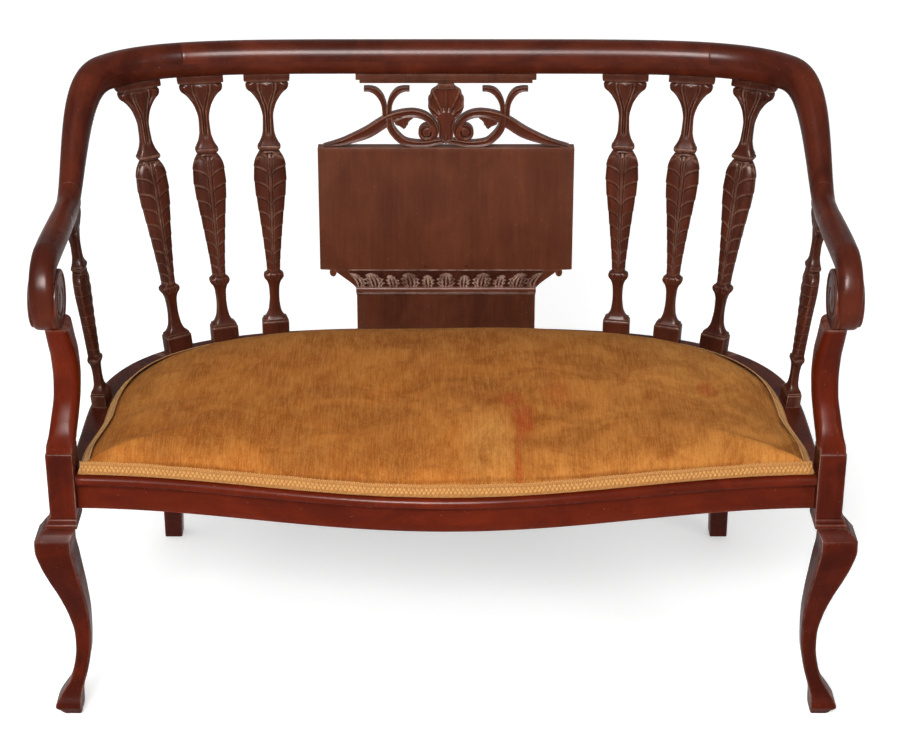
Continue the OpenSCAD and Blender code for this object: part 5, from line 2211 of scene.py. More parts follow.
    def leaves(self, x: Array, z: Array) -> Array:
        """Find how far the carved leaves stand out.

        Args:
            x: Places across the moulding.
            z: Heights over its foot.

        Returns:
            Distances in front of the backing.
        """
        out = np.zeros(np.broadcast(x, z).shape)
        pitch = self.stem_w / 10
        for k in range(-5, 6):
            large = k % 2 == 0 or abs(k) == 5
            half = 14.5 if large else 10.0
            low, tall = 9.6, (22.5 if large else 19.0)
            mid = k * pitch * 1.018
            t = (z - low) / tall
            lobes = 1 + 0.1 * np.cos(TAU * (t * 3.1 + 0.25))
            edge = half * np.clip(1 - np.clip(t, 0, 1) ** 2.6, 0, 1) ** 0.5 * lobes
            edge = edge * mix(0.78, 1.0, smooth(t / 0.45))
            r = np.abs(x - mid) / np.maximum(edge, 0.5)
            mask = smooth((1.0 - r) / 0.16) * smooth(t / 0.05 + 0.5) * (t < 1)
            curl = 1.2 + 2.6 * np.clip(t, 0, 1) ** 1.5 * smooth((1.02 - t) / 0.16)
            veins = 1.25 * np.cos(TAU * (r * (2.2 if large else 1.6)))
            cuts = 0.9 * bump(np.cos(np.pi * (t * 3.1 + r * 0.55)), 0, 0.22)
            cuts = cuts * smooth((r - 0.35) / 0.2)
            out = np.maximum(out, mask * (curl + 0.9 + veins - cuts))
        return out

    def moulding(self) -> Piece:
        """Carve the leaf moulding as a relief on its backing.

        Returns:
            The piece.
        """
        half = self.stem_w / 2 + 6.0
        z = np.concatenate([[0.0, 0.0], np.linspace(0.0, self.band_h, 74), [self.band_h]])
        x = np.concatenate([[-half, -half], np.linspace(-half, half, 440), [half, half]])
        zz, xx = np.meshgrid(z, x, indexing="ij")
        torus = 3.6 * np.sqrt(np.clip(1 - ((zz - 4.6) / 4.9) ** 2, 0, 1))
        cove = 1.0 + 2.6 * smooth((zz - 9.5) / 24.0)
        base = np.where(zz < 9.6, 1.6 + torus, cove)
        raised = self.leaves(xx, zz)
        out = base + raised * smooth((half + 1 - np.abs(xx)) / 2.5)
        out = np.minimum(out, self.band_out + 0.8)
        out[[0, -1]] = out[:, [0, -1]] = -2.0
        wide = mix(self.stem_w / 2 + 1.0, half + 6, smooth((zz - 8) / 30) ** 1.4)
        # The raised leaf tops are painted pale: wear and a painted highlight.
        worn = smooth((raised - 2.0) / 1.8) * smooth((zz - 11.0) / 3.0)
        worn = np.clip(worn + 0.8 * bump(zz, 1.0, 1.0), 0, 1)
        # The backing between the leaves is painted darker: grime and painted shade.
        sunk = 0.9 * smooth((0.8 - raised) / 0.8) * smooth((zz - 9.5) / 1.5)
        points = self.stand(xx / half * wide, -self.panel_t / 2 - out, zz + self.stem_h)
        return settle(
            loft(points, marks={"worn": worn, "sunk": sunk}), "splat_leaf_moulding_timber",
            self.finishes.leaves, tone=self.moulding_highlight_tone, sharp=60,
        )

    def strap(
        self, shares: Sequence[Triple], mid: float, side: int, front: float, back: float,
        turned: bool = False, closed_end: bool = True,
    ) -> Mesh:
        """Carve a flat ribbon with raised rims along a curve.

        Args:
            shares: Points and widths, in shares of the cresting's height.
            mid: The place that X is measured from.
            side: -1 for the left half and 1 for the right half.
            front: How far its face stands in front of the board's.
            back: How far its back lies in front of the board's back.
            turned: Whether X is mirrored about mid.
            closed_end: Whether its last end is rounded off.

        Returns:
            The ribbon's mesh.
        """
        table = np.array(shares, float)
        table[:, 0] = mid + (-table[:, 0] if turned else table[:, 0])
        curve = through(table, max(26, 8 * len(table))) * self.cresting_h
        flat, wide = curve[:, :2], curve[:, 2] / 2
        along = unit(np.gradient(flat, axis=0))
        left = np.stack([-along[:, 1], along[:, 0]], axis=1)
        out = np.array([0.2, 0.45, 0.62, 0.78, 0.9, 0.97, 1])
        high = np.array([-1.2, -0.9, -0.2, 0.2, 0.05, -0.5, -1.6])
        lateral = np.concatenate([-out[::-1], [0], out])
        relief = np.concatenate([high[::-1], [-1.25], high])
        face = -(self.cresting_t / 2 + front) - relief
        rear = self.cresting_t / 2 - back
        ring_q = np.concatenate([lateral, [1, 0.92, 0.3, -0.3, -0.92, -1, -1]])
        ring_y = np.concatenate([face, [rear - 0.9, rear, rear, rear, rear, rear - 0.9, face[0]]])
        ends = np.ones(len(curve))
        if closed_end:
            ends[-3:] = 0.96, 0.86, 0.55
        offset = ring_q[None, :] * (wide * ends)[:, None]
        x = flat[:, 0:1] + left[:, 0:1] * offset
        z = flat[:, 1:2] + left[:, 1:2] * offset + self.panel_high
        return loft(self.stand(-side * x, ring_y, z))

    def scroll_eye(self, side: int) -> Mesh:
        """Carve the curled end of a ribbon, with its spiral groove.

        Args:
            side: -1 for the left half and 1 for the right half.

        Returns:
            The mesh.
        """
        cx, cz, radius = (v * self.cresting_h for v in self.eye)
        share = np.concatenate([np.linspace(0, 0.93, 26), [0.96, 0.985, 1.0, 1.0, 1.0]])
        a = TAU * np.arange(65) / 64
        s, turn = np.meshgrid(share, a, indexing="ij")
        r = s * radius
        path = radius * (0.74 - 0.4 * turn / TAU)
        groove = 2.4 * bump(r, path, 1.6) * smooth((0.92 * TAU - turn) / 0.6)
        high = 0.8 + 1.4 * (1 - s**2) - groove * smooth((1 - s) / 0.1)
        high[-3:] = np.array([0.2, -2.0, 1.5 - self.cresting_t])[:, None]
        direction = turn + 1.2
        x = cx + r * np.cos(direction)
        z = cz + r * np.sin(direction) + self.panel_high
        return loft(self.stand(-side * x, -self.cresting_t / 2 - high, z))

    def relief_board(
        self, z: Array, left: Array, right: Array, columns: int,
        height: Callable[[Array, Array, Array], Array], side: int,
    ) -> Mesh:
        """Carve an upright board whose front is a relief.

        Args:
            z: Heights in shares of the cresting's height.
            left: The left edge at each height, in the same shares.
            right: The right edge.
            columns: Columns across the front.
            height: A function of shares up and across that gives the relief.
            side: 1 mirrors the board.

        Returns:
            The board's mesh.
        """
        q = np.linspace(-1, 1, columns + 1)
        q = np.sign(q) * (1 - (1 - np.abs(q)) ** 1.25)
        mid, half = (left + right) / 2, (right - left) / 2
        up, across = np.meshgrid(z, q, indexing="ij")
        x = (mid[:, None] + half[:, None] * across) * self.cresting_h
        out = height(up, across, x) - 1.4 * smooth((np.abs(across) - 0.93) / 0.07)
        y = -self.cresting_t / 2 - out
        back_q = np.array([1, 0.5, -0.5, -1, -1])
        bx = (mid[:, None] + half[:, None] * back_q) * self.cresting_h
        by = np.full_like(bx, self.cresting_t / 2)
        by[:, -1] = y[:, 0]
        bx[:, -1] = x[:, 0]
        px, py = np.concatenate([x, bx], axis=1), np.concatenate([y, by], axis=1)
        pz = z[:, None] * self.cresting_h + self.panel_high
        return loft(self.stand(-side * px, py, pz))

    def vein_relief(self, up: Array, across: Array, x: Array) -> Array:
        """Find the relief of the hanging leaf's veins."""
        return 0.45 * np.cos(across * 7.0 + up * 14) - 0.6 - 0.9 * bump(across, 0.1, 0.12)

    def shell_relief(self, up: Array, across: Array, x: Array) -> Array:
        """Find the relief of the shell's flutes and of the calyx under it.

        Args:
            up: Heights in shares of the cresting's height.
            across: Shares of the half width.
            x: Distances from the middle line.

        Returns:
            Distances in front of the board.
        """
        side = np.abs(across)
        dz = (up - 0.42) * self.cresting_h
        fan = np.arctan2(x, np.maximum(dz, 0.01))
        far = np.hypot(x, dz)
        flutes = np.abs(np.sin(fan * 7.6))
        open_up = smooth((far - 12) / 9) * smooth((up - 0.4) / 0.08) * smooth((0.925 - up) / 0.01)
        ridge = mix(2.4, 2.6 - 3.4 * flutes**0.75, open_up)
        rim = 1.0 * smooth((side - 0.8) / 0.15) * open_up * flutes
        calyx = smooth((0.46 - up) / 0.1)
        body = 1.6 * np.sqrt(np.clip(1 - side**2, 0, 1)) - 0.9 * bump(side, 0.72, 0.12)
        small = bump(x, 0, 1.2) * bump(up, 0.145, 0.05) * 2.0
        lip = 2.2 * bump(up, 0.092 + 0.05 * side**2, 0.013)
        cap = 1.0 * smooth((up - 0.94) / 0.01)
        return (1 - calyx) * (ridge + rim) + calyx * (body + 0.9 + small + lip) + cap

    def cresting(self) -> Piece:
        """Carve the pierced cresting in both halves, with the shell between them.

        Returns:
            The piece.
        """
        parts = []
        for side in (-1, 1):
            parts.append(self.strap(self.ribbon, 0.0, side, 0.0, 0.0))
            parts.append(self.strap(self.scroll_band, 0.0, side, *self.band_set))
            for turned in (False, True):
                parts.append(
                    self.strap(self.fork, self.bracket_mid, side, *self.fork_set, turned, False)
                )
            parts.append(self.scroll_eye(side))
            z = np.linspace(0.281, 0.479, 40)
            teeth = 0.012 * np.abs(np.sin(z * 62)) * smooth((0.44 - z) / 0.03)
            left = self.hanging_leaf.at(z, 1) + teeth
            right = self.hanging_leaf.at(z, 2) - teeth
            parts.append(self.relief_board(z, left, right, 14, self.vein_relief, side))
        z = np.concatenate([np.linspace(0.061, 0.93, 120), [0.938, 0.95, 0.97, 0.999]])
        half = self.shell.at(z, 1)
        parts.append(self.relief_board(z, -half, half, 60, self.shell_relief, -1))
        return settle(
            join(parts), "splat_cresting_timber", self.finishes.carved,
            tone=self.cresting_tone, sharp=55,
        )

    def cap(self) -> Piece:
        """Build the stepped cap board under the crest rail.

        Returns:
            The piece.
        """
        low, step, half = self.length - self.cap_h, self.cap_h / 3, self.cap_w / 2
        wide, mid = half - step, low + step
        rows = [(low, wide, 1.0), (low + 0.4, wide, 0.3), (low + 1.1, wide, 0)]
        rows += [(mid - 0.1, wide, 0), (mid + 1, wide, 0)]
        under = self.board(rows, self.panel_t - step, 0.7)
        rows = [(mid, half, 1.1), (mid + 0.4, half, 0.3), (mid + 1.2, half, 0)]
        rows += [(mid + 5, half, 0), (self.length + 0.6, half, 0)]
        over = self.board(rows, self.panel_t, 0.7)
        return settle(
            join([under, over]), "splat_cap_timber", self.finishes.panel,
            tone=self.cap_tone,
        )

    def build(self) -> list[Piece]:
        """Build the splat's boards."""
        return [self.panel(), self.stem(), self.moulding(), self.cresting(), self.cap()]


# Seat


@dataclass
class Seat:
    """The sprung seat: a velvet cover over its stuffing, trimmed with gimp braid."""

    plan: Plan
    finishes: Finishes
    crown_h: float = 34.0
    edge_h: float = 14.0
    cover_t: float = 3.0
    front_ledge: float = 8.0
    braid_h: float = 18.0
    braid_t: float = 3.0
    gap: float = 0.3
    baluster_t: float = 22.0
    stitch: float = 6.0
    braid_steps: int = 3300
    swell_most: float = 5.0
    steps: int = 20
    coarse: tuple[int, int] = (100, 22)
    fine: tuple[int, int] = (440, 84)
    inner: tuple[int, int] = (120, 14)
    front_lean: float = 3.0
    side_lean: float = 13.0
    crown: Profile = Profile(
        ((-1.0, 1.0), (-0.62, 0.975), (-0.36, 0.99), (0.0, 1.0), (0.36, 0.985), (0.62, 0.935),
         (0.8, 0.8), (0.9, 0.62), (0.955, 0.41), (0.985, 0.18), (1.0, 0.0))
    )

    @property
    def rear_ledge(self) -> float:
        """Distance of the upholstery inside the rails' outer face."""
        return self.plan.baluster_set + self.baluster_t / 2 + self.braid_t + 6 * self.gap

    @property
    def start(self) -> float:
        """Distance of the upholstery's front corners behind the front leg line."""
        plan = self.plan
        return plan.front_set - plan.nose_out + self.front_ledge + self.braid_t + self.gap

    @property
    def edge_top(self) -> float:
        """Height of the cover's edge."""
        return self.plan.rail_top + self.edge_h

    @property
    def middle(self) -> Array:
        """The point that the dome's rings shrink towards."""
        back = self.plan.rail_back - self.rear_ledge
        return np.array([0.0, (back + self.start - self.plan.front_bow) / 2])

    def outline(self, grow: float, count: int) -> Array:
        """Draw the upholstery's outline, evenly stepped and closed.

        Args:
            grow: How far it is grown outward.
            count: The number of steps round it.

        Returns:
            The outline's points, anticlockwise from the front left.
        """
        plan = self.plan
        front_half = plan.block_inner - self.braid_t - 4 * self.gap
        back_half = plan.rail_half - self.rear_ledge
        x = np.linspace(-1, 1, 160) * (front_half + grow)
        front = xyz(x, plan.front_y(x) + self.start - plan.front_set - grow)
        y = np.linspace(6, plan.rail_turn, 30)[:-1]
        share = smooth((y - plan.rail_turn / 3) / (plan.rail_turn * 0.75))
        side_x = grow + mix(front_half, back_half, share)
        back = plan.rail_plan(self.rear_ledge - grow, np.linspace(0, 180, 300))
        left = xyz(-side_x, y)[::-1]
        line = np.concatenate([front, xyz(side_x, y), back, left, front[:1]])
        return evened(spaced(line, count), 3)

    def slope(self, ring: Array) -> tuple[Array, Array, Array]:
        """Find how the edge leans in round the seat: steeply in front, gently behind.

        Args:
            ring: The outline's points.

        Returns:
            Outward directions, inward leans and the braid's heights.
        """
        ahead = np.roll(ring[:-1], -1, 0) - np.roll(ring[:-1], 1, 0)
        out = unit(xyz(ahead[:, 1], -ahead[:, 0]))
        out = np.concatenate([out, out[:1]])
        lean = mix(self.front_lean, self.side_lean, smooth((out[:, 1] + 0.8) / 0.7))
        lean = evened(lean, len(ring) // 60)
        return out, lean, np.sqrt(self.braid_h**2 - lean**2)

    def shares(self, rings: int) -> Array:
        """List the dome's rings, from its foot over its edge to its middle, as shares."""
        over = np.sqrt(np.linspace(0.9996, 0.0, rings))
        return np.concatenate([1.0 + 0.001 * np.arange(5, 0, -1), over])

    def dome(
        self, grow: float, foot: float, edge: float, crown: float, around: int, rings: int
    ) -> Array:
        """Build the domed form's rings, from its foot to its crown.

        Args:
            grow: How far its outline is grown outward.
            foot: Height of its foot.
            edge: Height of its edge.
            crown: The dome's rise over its edge.
            around: Steps round the seat.
            rings: Rings over the dome.

        Returns:
            The points, by ring and column.
        """
        share = np.minimum(self.shares(rings), 1.0)[:, None]
        climb = np.ones_like(share)
        climb[:5, 0] = 0.0, 0.3, 0.6, 0.85, 1.0
        ring = self.outline(grow, around)
        out, lean, high = self.slope(ring)
        inner = ring[None] - climb[..., None] * (out * lean[:, None])[None]
        flat = self.middle + (inner - self.middle) * share[..., None]
        edge = edge + (high - self.braid_h) * smooth((share - 0.7) / 0.3)
        level = mix(foot, edge, climb) + crown * self.crown.at(share, 1)
        return np.concatenate([flat, level[..., None]], axis=2)

    def lived_in(self, points: Array) -> Array:
        """Add the hollows, creases and pulls of long use to the cover.

        Args:
            points: The dome's points.

        Returns:
            The points, moved up or down.
        """
        x, y, z = points[..., 0], points[..., 1], points[..., 2]
        edge = self.edge_top
        soft = 1.5 * np.sin(x / 92 + 0.8 * np.sin(y / 71)) * np.sin(y / 66 + 0.6)
        soft = soft + 0.9 * np.sin(x / 47 + y / 88 + 1.2) + 0.5 * np.sin(y / 31 - x / 63)
        soft = soft - 3.2 * bump(x, -235, 120) * bump(y, 190, 95)
        soft = soft - 2.6 * bump(x, 245, 130) * bump(y, 170, 90)
        across = np.linalg.norm(points[..., :2] - points[3:4, :, :2], axis=-1)
        left = smooth((-x - 330) / 60) * smooth((y - 25) / 50) * smooth((390 - y) / 60)
        crease = -2.3 * bump(across, 24 + 4 * np.sin(y / 41), 6.0) * left
        crease = crease + 1.1 * bump(across, 37 + 5 * np.sin(y / 37), 7.0) * left
        right = smooth((x - 380) / 50) * smooth((y - 25) / 50) * smooth((330 - y) / 60)
        crease = crease - 1.4 * bump(across, 19 + 3 * np.sin(y / 33), 5.0) * right
        run = np.arctan2(y - self.middle[1], x) * 470
        pulls = 0.45 * np.sin(run / 13.0 + 1.3 * np.sin(run / 61)) * bump(across, 9, 9)
        out = points.copy()
        rise = smooth((z - edge - 4) / 14) * soft
        out[..., 2] = z + rise + crease + pulls * smooth((z - edge + 6) / 5)
        return out

    def tuck(self, points: Array) -> tuple[Array, Array]:
        """Press the wavering tuck into the cover just over the front braid.

        Args:
            points: The cover's points.

        Returns:
            The points, and the tuck's share at each, which paints its crease with shade.
        """
        x = points[..., 0]
        run = np.linalg.norm(points[..., :2] - points[4:5, :, :2], axis=-1)
        far = run + np.maximum(points[..., 2] - points[4:5, :, 2], 0)
        place = 10.0 + 3.4 * np.sin(x / 83 + 0.7) + 1.1 * np.sin(x / 29)
        front = points[..., 1] < self.middle[1] - 120
        sides = smooth((430 - np.abs(x)) / 60) * mix(0.45, 1.0, smooth(np.sin(x / 150 - 1.1) + 0.4))
        share = bump(far, place, 3.0) * front * sides
        out = points.copy()
        out[..., 2] -= 2.6 * share
        return out, np.clip(1.8 * share, 0, 1)

    def swell(self, around: int, rings: int) -> Array:
        """Let a cloth simulation fill out a coarse cover, held along its edge.

        Args:
            around: The coarse cover's steps round the seat.
            rings: Its rings over the dome.

        Returns:
            Its movement in millimetres, by ring and column.
        """
        points = self.dome(
            0.0, self.plan.rail_top, self.edge_top, self.crown_h, around, rings
        )
        bm = loft(points, caps=False)
        mesh = bpy.data.meshes.new("swelling_cover")
        bm.to_mesh(mesh)
        bm.free()
        mesh.transform(Matrix.Scale(MM, 4))
        piece = bpy.data.objects.new("swelling_cover", mesh)
        bpy.context.scene.collection.objects.link(piece)
        rest = np.array([vert.co[:] for vert in mesh.vertices])
        held = np.nonzero(rest[:, 2] < (self.edge_top + 2.0) * MM)[0]
        piece.vertex_groups.new(name="tacked").add([int(i) for i in held], 1.0, "REPLACE")
        cloth = piece.modifiers.new("swell", "CLOTH")
        settings = cloth.settings
        settings.quality, settings.mass = 4, 0.3
        settings.tension_stiffness = settings.compression_stiffness = 8
        settings.bending_stiffness = 0.5
        settings.use_pressure, settings.uniform_pressure_force = True, 4
        settings.vertex_group_mass = "tacked"
        settings.effector_weights.gravity = 0
        cloth.point_cache.frame_start, cloth.point_cache.frame_end = 1, self.steps
        for step in range(1, self.steps + 1):
            bpy.context.scene.frame_set(step)
        solved = piece.evaluated_get(bpy.context.evaluated_depsgraph_get()).data
        moved = np.array([vert.co[:] for vert in solved.vertices])
        bpy.context.scene.frame_set(1)
        tree = KDTree(len(rest))
        for index, place in enumerate(rest):
            tree.insert(place, index)
        tree.balance()
        flat = points.reshape(-1, 3) * MM
        nearest = [tree.find(place)[1] for place in flat]
        shift = ((moved - rest) / MM)[nearest].reshape(points.shape)
        bpy.data.objects.remove(piece)
        bpy.data.meshes.remove(mesh)
        return shift

    def swollen(self, points: Array) -> Array:
        """Carry the simulated swelling over to the fine cover.

        Args:
            points: The fine cover.

        Returns:
            The fine cover, swelled.
        """
        shift = self.swell(*self.coarse)
        fine, coarse = -self.shares(self.fine[1]), -self.shares(self.coarse[1])
        lines = shift.reshape(len(shift), -1).T
        rows = np.stack([np.interp(fine, coarse, line) for line in lines], axis=-1)
        rows = rows.reshape(len(fine), *shift.shape[1:])
        place = np.linspace(0, shift.shape[1] - 1, points.shape[1])
        low = np.minimum(place.astype(int), shift.shape[1] - 2)
        part = (place - low)[None, :, None]
        move = mix(rows[:, low], rows[:, low + 1], part)
        for _ in range(3):
            move[1:-1] = (move[:-2] + 2 * move[1:-1] + move[2:]) / 4
            move = evened(move.swapaxes(0, 1), 1).swapaxes(0, 1)
        most = float(np.linalg.norm(move, axis=-1).max())
        share = min(1.0, self.swell_most / max(most, 1e-6))
        log.info("seat cover swelled by up to %.1f mm", most * share)
        return points + move * share

    def cover(self) -> Piece:
        """Build the velvet cover.

        Returns:
            The piece.
        """
        points = self.dome(0.0, self.plan.rail_top, self.edge_top, self.crown_h, *self.fine)
        points = self.swollen(points)
        points, sunk = self.tuck(self.lived_in(points))
        # The tuck's share paints its crease with shade.
        piece = settle(
            loft(points, marks={"sunk": sunk}), "seat_cover_velvet",
            self.finishes.velvet, sharp=80, reach=2,
        )
        return piece

    def stuffing(self) -> Piece:
        """Build the stuffing under the cover.

        Returns:
            The piece.
        """
        foot, edge = self.plan.rail_top + 3, self.edge_top - self.cover_t / 2 - self.gap
        crown = self.crown_h - 2 * self.cover_t
        points = self.dome(-self.cover_t - self.gap, foot, edge, crown, *self.inner)
        piece = settle(
            loft(points), "seat_stuffing_flock", self.finishes.linen, sharp=80
        )
        return piece

    def braid(self) -> Piece:
        """Weave the gimp braid round the seat: two twisted cords and looped yarn between.

        Returns:
            The piece.
        """
        line = self.outline(2 * self.gap, self.braid_steps)
        run = lengths(line)
        turns = round(run[-1] / self.stitch)
        phase = (run / run[-1] * turns * TAU)[:, None]
        out, lean, tall = self.slope(line)
        high = np.array(
            [0, 0.3, 1.0, 2.2, 3.5, 4.5, 5.2, 6.2, 7.6, 8.7, 9.3, 10.4, 11.8, 12.8, 13.5, 14.5,
             15.8, 17.0, 17.7, 18.0]
        )
        z = high * self.braid_h / 18.0
        twist = np.sin(2 * phase + (z - 9.0) * 1.2)
        cords = np.zeros((1, len(z)))
        for mid in (2.3, 15.7):
            shape = np.sqrt(np.clip(1 - ((z - mid) / 2.5) ** 2, 0, 1))
            cords = cords + shape * (1.55 + 0.7 * twist)
        inner = smooth((5.9 - np.abs(z - 9.0)) / 1.4)
        loop = np.sin(phase + np.pi * (z > 9.0)) * np.cos((np.abs(z - 9.0) - 2.7) * 0.55)
        loops = inner * (1.25 + 0.95 * loop)
        # Where the loops dip, the cords twist away and cords meet loops, the braid is painted with
        # shade.
        sunk = np.clip(0.95 * inner * smooth((-0.15 - loop) / 0.6), 0, 1)
        sunk = np.maximum(sunk, 0.55 * (1 - inner) * smooth((-0.2 - twist) / 0.6))
        sunk = np.maximum(sunk, 0.5 * (bump(z, 4.8, 0.5) + bump(z, 13.2, 0.5)))
        thick = np.clip(0.35 + np.maximum(cords, loops), 0.3, self.braid_t + 0.3)
        wave = 0.45 * np.sin(run / 37)[:, None] + 0.35 * np.sin(run / 11.3)[:, None]
        scallop = 0.35 * np.sin(phase) * smooth((np.abs(z - 9) - 6.5) / 2) * np.sign(z - 9)
        along = z + wave * smooth(z / 6) + scallop * (z > 0.5)
        rise, inward = (tall / self.braid_h)[:, None], (lean / self.braid_h)[:, None]
        level = self.plan.rail_top + 0.1 + along * rise + (thick - 0.3) * inward
        leant = line[:, None] - out[:, None] * (along * inward)[..., None]
        flat = leant + out[:, None] * (thick * rise)[..., None]
        front = np.concatenate([flat, level[..., None]], axis=2)
        back = np.concatenate([leant[:, -1:], level[:, -1:, None]], axis=2)
        foot = np.concatenate([line[:, None], level[:, :1, None]], axis=2)
        points = np.concatenate([foot, front, back, foot], axis=1)
        blank = np.zeros((len(line), 1))
        sunk = np.concatenate([blank, sunk * np.ones_like(phase), blank, blank], axis=1)
        return settle(
            loft(points, caps=False, marks={"sunk": sunk}), "gimp_braid_yarn",
            self.finishes.braid, sharp=80, reach=0,
        )

    def build(self) -> list[Piece]:
        """Build the cover, the stuffing and the braid."""
        return [self.cover(), self.stuffing(), self.braid()]


# Underside


@dataclass
class Underside:
    """What is seen from below: the dust cover with its tacks, and the timber inside."""

    plan: Plan
    finishes: Finishes
    leg_x: float = 420.0
    leg_notch: float = 35.2
    tack_r: float = 4.0
    tack_step: float = 46.0
    tack_in: float = 7.0
    tack_flat: float = 0.42

    def edges(self, x: Array) -> tuple[Array, Array]:
        """Find the cloth's front and back edges at places across it."""
        plan = self.plan
        return plan.front_y(x) + plan.nose_out / 2, plan.rail_middle(x)

    def dust_cover(self) -> tuple[Piece, Piece]:
        """Stretch the black cloth under the rails, cut round the rear legs, and tack it.

        Returns:
            The cloth and its tacks.
        """
        plan = self.plan
        half = plan.rail_half - plan.rail_t / 2 - 0.5
        x = half * np.sin(np.linspace(-np.pi / 2, np.pi / 2, 121))
        front, back = self.edges(x)
        front = np.where(np.abs(x) > plan.block_inner - 1, plan.block_back + 0.6, front)
        share = np.linspace(0, 1, 61)[:, None]
        y = mix(front, back, share)
        held = np.minimum(share, 1 - share) * 6 * (1 - (x / half) ** 2).clip(0, 1) ** 0.3
        ripple = 0.5 * np.sin(x / 7.3) * bump(share, 0.0, 0.08)
        z = plan.rail_low - 0.5 - 5.0 * smooth(held) - np.abs(ripple)
        bm = loft(xyz(x, y, z), caps=False)
        leg_y = float(plan.rail_middle(self.leg_x))
        cut = self.leg_notch / 2
        for side, k in ((-1, -1), (-1, 1), (1, -1), (1, 1)):
            beside = ((side * self.leg_x + k * cut, 0, 0), (1, 0, 0))
            before = ((0, leg_y + k * cut, 0), (0, 1, 0))
            for place, across in (beside, before):
                bmesh.ops.bisect_plane(
                    bm, geom=[*bm.verts, *bm.edges, *bm.faces], plane_co=place,
                    plane_no=across, dist=0.001,
                )
        inside = [
            f for f in bm.faces
            if abs(abs(f.calc_center_median().x) - self.leg_x) < cut
            and abs(f.calc_center_median().y - leg_y) < cut
        ]
        bmesh.ops.delete(bm, geom=inside, context="FACES")
        if sum(f.normal.z for f in bm.faces) > 0:
            bmesh.ops.reverse_faces(bm, faces=bm.faces)
        area = sum(f.calc_area() for f in bm.faces) * MM * MM
        cloth = settle(bm, "dust_cover_cloth", self.finishes.black, sharp=80)
        wall = cloth.modifiers.new("cloth_thickness", "SOLIDIFY")
        wall.thickness, wall.offset = 0.6 * MM, 0.0
        tacks = self.tacks(x, y)
        return cloth, tacks

    def tacks(self, x: Array, y: Array) -> Piece:
        """Drive domed tacks round the dust cover's edge.

        Args:
            x: The cloth's columns.
            y: The places of its rows.

        Returns:
            The piece.
        """
        line = np.concatenate([xyz(x, y[0] + self.tack_in), xyz(x, y[-1] - self.tack_in)[::-1]])
        line = line[np.abs(line[:, 0]) < self.plan.rail_half - self.plan.rail_t / 2 - 6]
        run = lengths(line)
        bm = bmesh.new()
        level = self.plan.rail_low - 1.0
        for far in np.arange(20.0, run[-1] - 10, self.tack_step):
            spot = Vector((*(np.interp(far, run, column) for column in line.T), level))
            place = Matrix.Translation(spot) @ Matrix.Diagonal((1, 1, self.tack_flat, 1))
            bmesh.ops.create_icosphere(bm, subdivisions=2, radius=self.tack_r, matrix=place)
        return settle(bm, "dust_cover_tacks", self.finishes.steel, sharp=60, node="")

    def dress(self, frame: dict) -> None:
        """Finish the solids that are kept as they are.

        Args:
            frame: The loaded model.
        """
        finishes = self.finishes
        for node, material, edge in (
            ("cross_rail", finishes.inner_rail, 1.2),
            ("left_front_glue_block", finishes.inner_block, 1.0),
            ("right_front_glue_block", finishes.inner_block, 1.0),
            ("glue_block_screws", finishes.steel, 0.3),
            ("webbing", finishes.linen, 0.0),
            ("hessian_cloth", finishes.linen, 0.0),
        ):
            solid = frame["nodes"][node]
            solid.data.materials.clear()
            solid.data.materials.append(material)
            if edge:
                weld = solid.modifiers.new("weld", "WELD")
                weld.merge_threshold = 0.00001
                bevel = solid.modifiers.new("eased_edges", "BEVEL")
                bevel.width, bevel.segments = edge * MM, 2
                bevel.limit_method, bevel.angle_limit = "ANGLE", math.radians(50)
            log.info("%s: dressed", node)

    def build(self, frame: dict) -> list[Piece]:
        """Build the dust cover and dress the solids kept inside."""
        self.dress(frame)
        return list(self.dust_cover())


# Studio


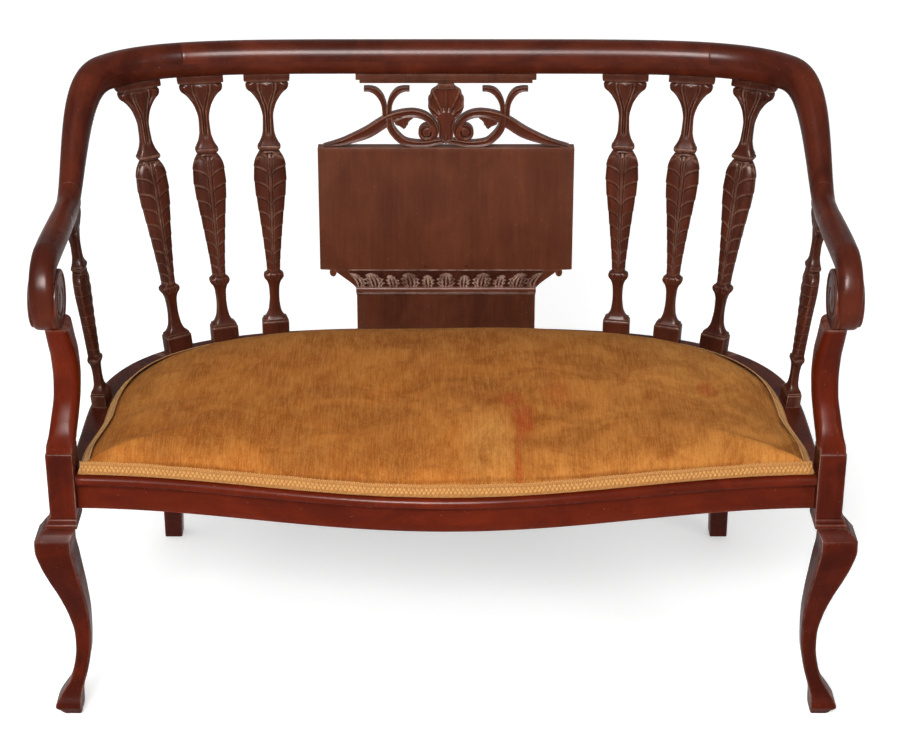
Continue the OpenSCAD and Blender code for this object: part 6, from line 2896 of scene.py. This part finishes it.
@dataclass(frozen=True)
class Studio:
    """The camera at the photograph's angle, a pale floor and soft lamps."""

    place: Triple = (0.0, -2.9355, 1.86)
    tilt: float = 64.8
    lens: float = 89.2
    shift: tuple[float, float] = (6 / 904, -33 / 904)
    floor_half: float = 9.0
    pale: Colour = (0.9, 0.9, 0.895, 1)
    floor_white: float = 0.42
    aim: Triple = (0.0, 0.0, 0.5)
    lamps: tuple[tuple, ...] = (
        ("softbox", (-0.7, -3.2, 2.45), (1.5, 0.9), 104, True),
        ("glint_panel", (-0.3, -2.9, 2.6), (1.5, 1.3), 760, False),
        ("right_fill", (2.4, -2.4, 1.9), (0.8, 0.8), 20, True),
    )

    def camera(self) -> None:
        """Set the camera up."""
        data = bpy.data.cameras.new("photo_camera")
        data.lens, data.sensor_width = self.lens, 36.0
        data.shift_x, data.shift_y = self.shift
        data.clip_end = 100.0
        camera = self.hang(data, self.place, (math.radians(self.tilt), 0.0, 0.0))
        bpy.context.scene.camera = camera

    def hang(self, data: bpy.types.ID, place: Sequence[float], turn: Sequence[float]) -> Piece:
        """Put one of the studio's things in the scene, at its place and turned.

        Args:
            data: What it is.
            place: Its place in metres.
            turn: Its turn in radians.

        Returns:
            Its object.
        """
        item = bpy.data.objects.new(data.name, data)
        item.location, item.rotation_euler = place, turn
        bpy.context.scene.collection.objects.link(item)
        return item

    def floor(self) -> None:
        """Lay the floor."""
        bm = bmesh.new()
        bmesh.ops.create_grid(bm, x_segments=8, y_segments=8, size=self.floor_half)
        mesh = bpy.data.meshes.new("studio_floor")
        bm.to_mesh(mesh)
        bm.free()
        floor = self.hang(mesh, (0, 0, 0), (0, 0, 0))
        material, bench = new_material("studio_floor", self.pale)
        glow = bench.times(self.seen(bench), self.floor_white)
        close_material(bench, {
            "Base Color": self.pale,
            "Roughness": 0.9,
            "Specular IOR Level": 0.1,
            "Emission Color": (1, 1, 1, 1),
            "Emission Strength": glow,
        })
        mesh.materials.append(material)

    def seen(self, bench: Bench) -> Socket:
        """Find the rays that see the white look: the camera's, mirrored and let through.

        Args:
            bench: The bench to work on.

        Returns:
            The result's socket.
        """
        rays = bench.add("ShaderNodeLightPath").outputs
        seen = bench.work("MAXIMUM", rays["Is Camera Ray"], rays["Is Transmission Ray"])
        return bench.work("MAXIMUM", seen, rays["Is Glossy Ray"])

    def lamp(self, name: str, place: Triple, size: tuple[float, float], power: float) -> Piece:
        """Hang a soft rectangular lamp and turn it to the settee.

        Args:
            name: Its name.
            place: Its place in metres.
            size: Its width and height.
            power: Its power.

        Returns:
            The lamp.
        """
        data = bpy.data.lights.new(name, "AREA")
        data.shape = "RECTANGLE"
        data.size, data.size_y, data.energy = *size, power
        turn = (Vector(self.aim) - Vector(place)).to_track_quat("-Z", "Y").to_euler()
        return self.hang(data, place, turn)

    def sun(self, strength: float, turn: Triple, spread: float) -> None:
        """Add a broad soft light that is even over the floor.

        Args:
            strength: Its strength.
            turn: Its turn in degrees.
            spread: The angle that it fills, in degrees.
        """
        data = bpy.data.lights.new("window_light", "SUN")
        data.energy, data.angle = strength, math.radians(spread)
        self.hang(data, (0, 0, 0), tuple(math.radians(v) for v in turn))

    def world(self) -> None:
        """Give the world a soft grey light and a white look."""
        world = bpy.data.worlds.new("studio")
        world.use_nodes = True
        bpy.context.scene.world = world
        world.node_tree.nodes.clear()
        bench = Bench(world.node_tree)
        seen = self.seen(bench)
        light = bench.add("ShaderNodeBackground", {"Color": (1, 1, 1, 1), "Strength": 0.3})
        look = bench.add("ShaderNodeBackground", {"Color": (1, 1, 1, 1), "Strength": 1.0})
        both = bench.add("ShaderNodeMixShader", {0: seen, 1: light.outputs[0], 2: look.outputs[0]})
        bench.add("ShaderNodeOutputWorld", {"Surface": both.outputs[0]})

    def build(self) -> None:
        """Build the studio."""
        self.camera()
        self.floor()
        self.world()
        self.sun(1.15, (34, -16, 0), 40)
        for name, place, size, power, diffuse in self.lamps:
            self.lamp(name, place, size, power).visible_diffuse = diffuse
        bpy.context.scene.view_settings.view_transform = "Standard"


def main() -> None:
    """Build the settee and its studio, and report each piece."""
    logging.basicConfig(level=logging.INFO, format="%(name)s %(message)s")
    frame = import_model()
    plan = Plan()
    Studio().build()
    finishes = Finishes(Effects())
    rails = CrestAndArms(plan, finishes)
    pieces = rails.build()
    pieces += Uprights(plan, finishes, rails).build()
    for part in (SeatRails, Balusters, Splat, Seat):
        pieces += part(plan, finishes).build()
    pieces += Underside(plan, finishes).build(frame)
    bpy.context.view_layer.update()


if __name__ == "__main__":
    main()
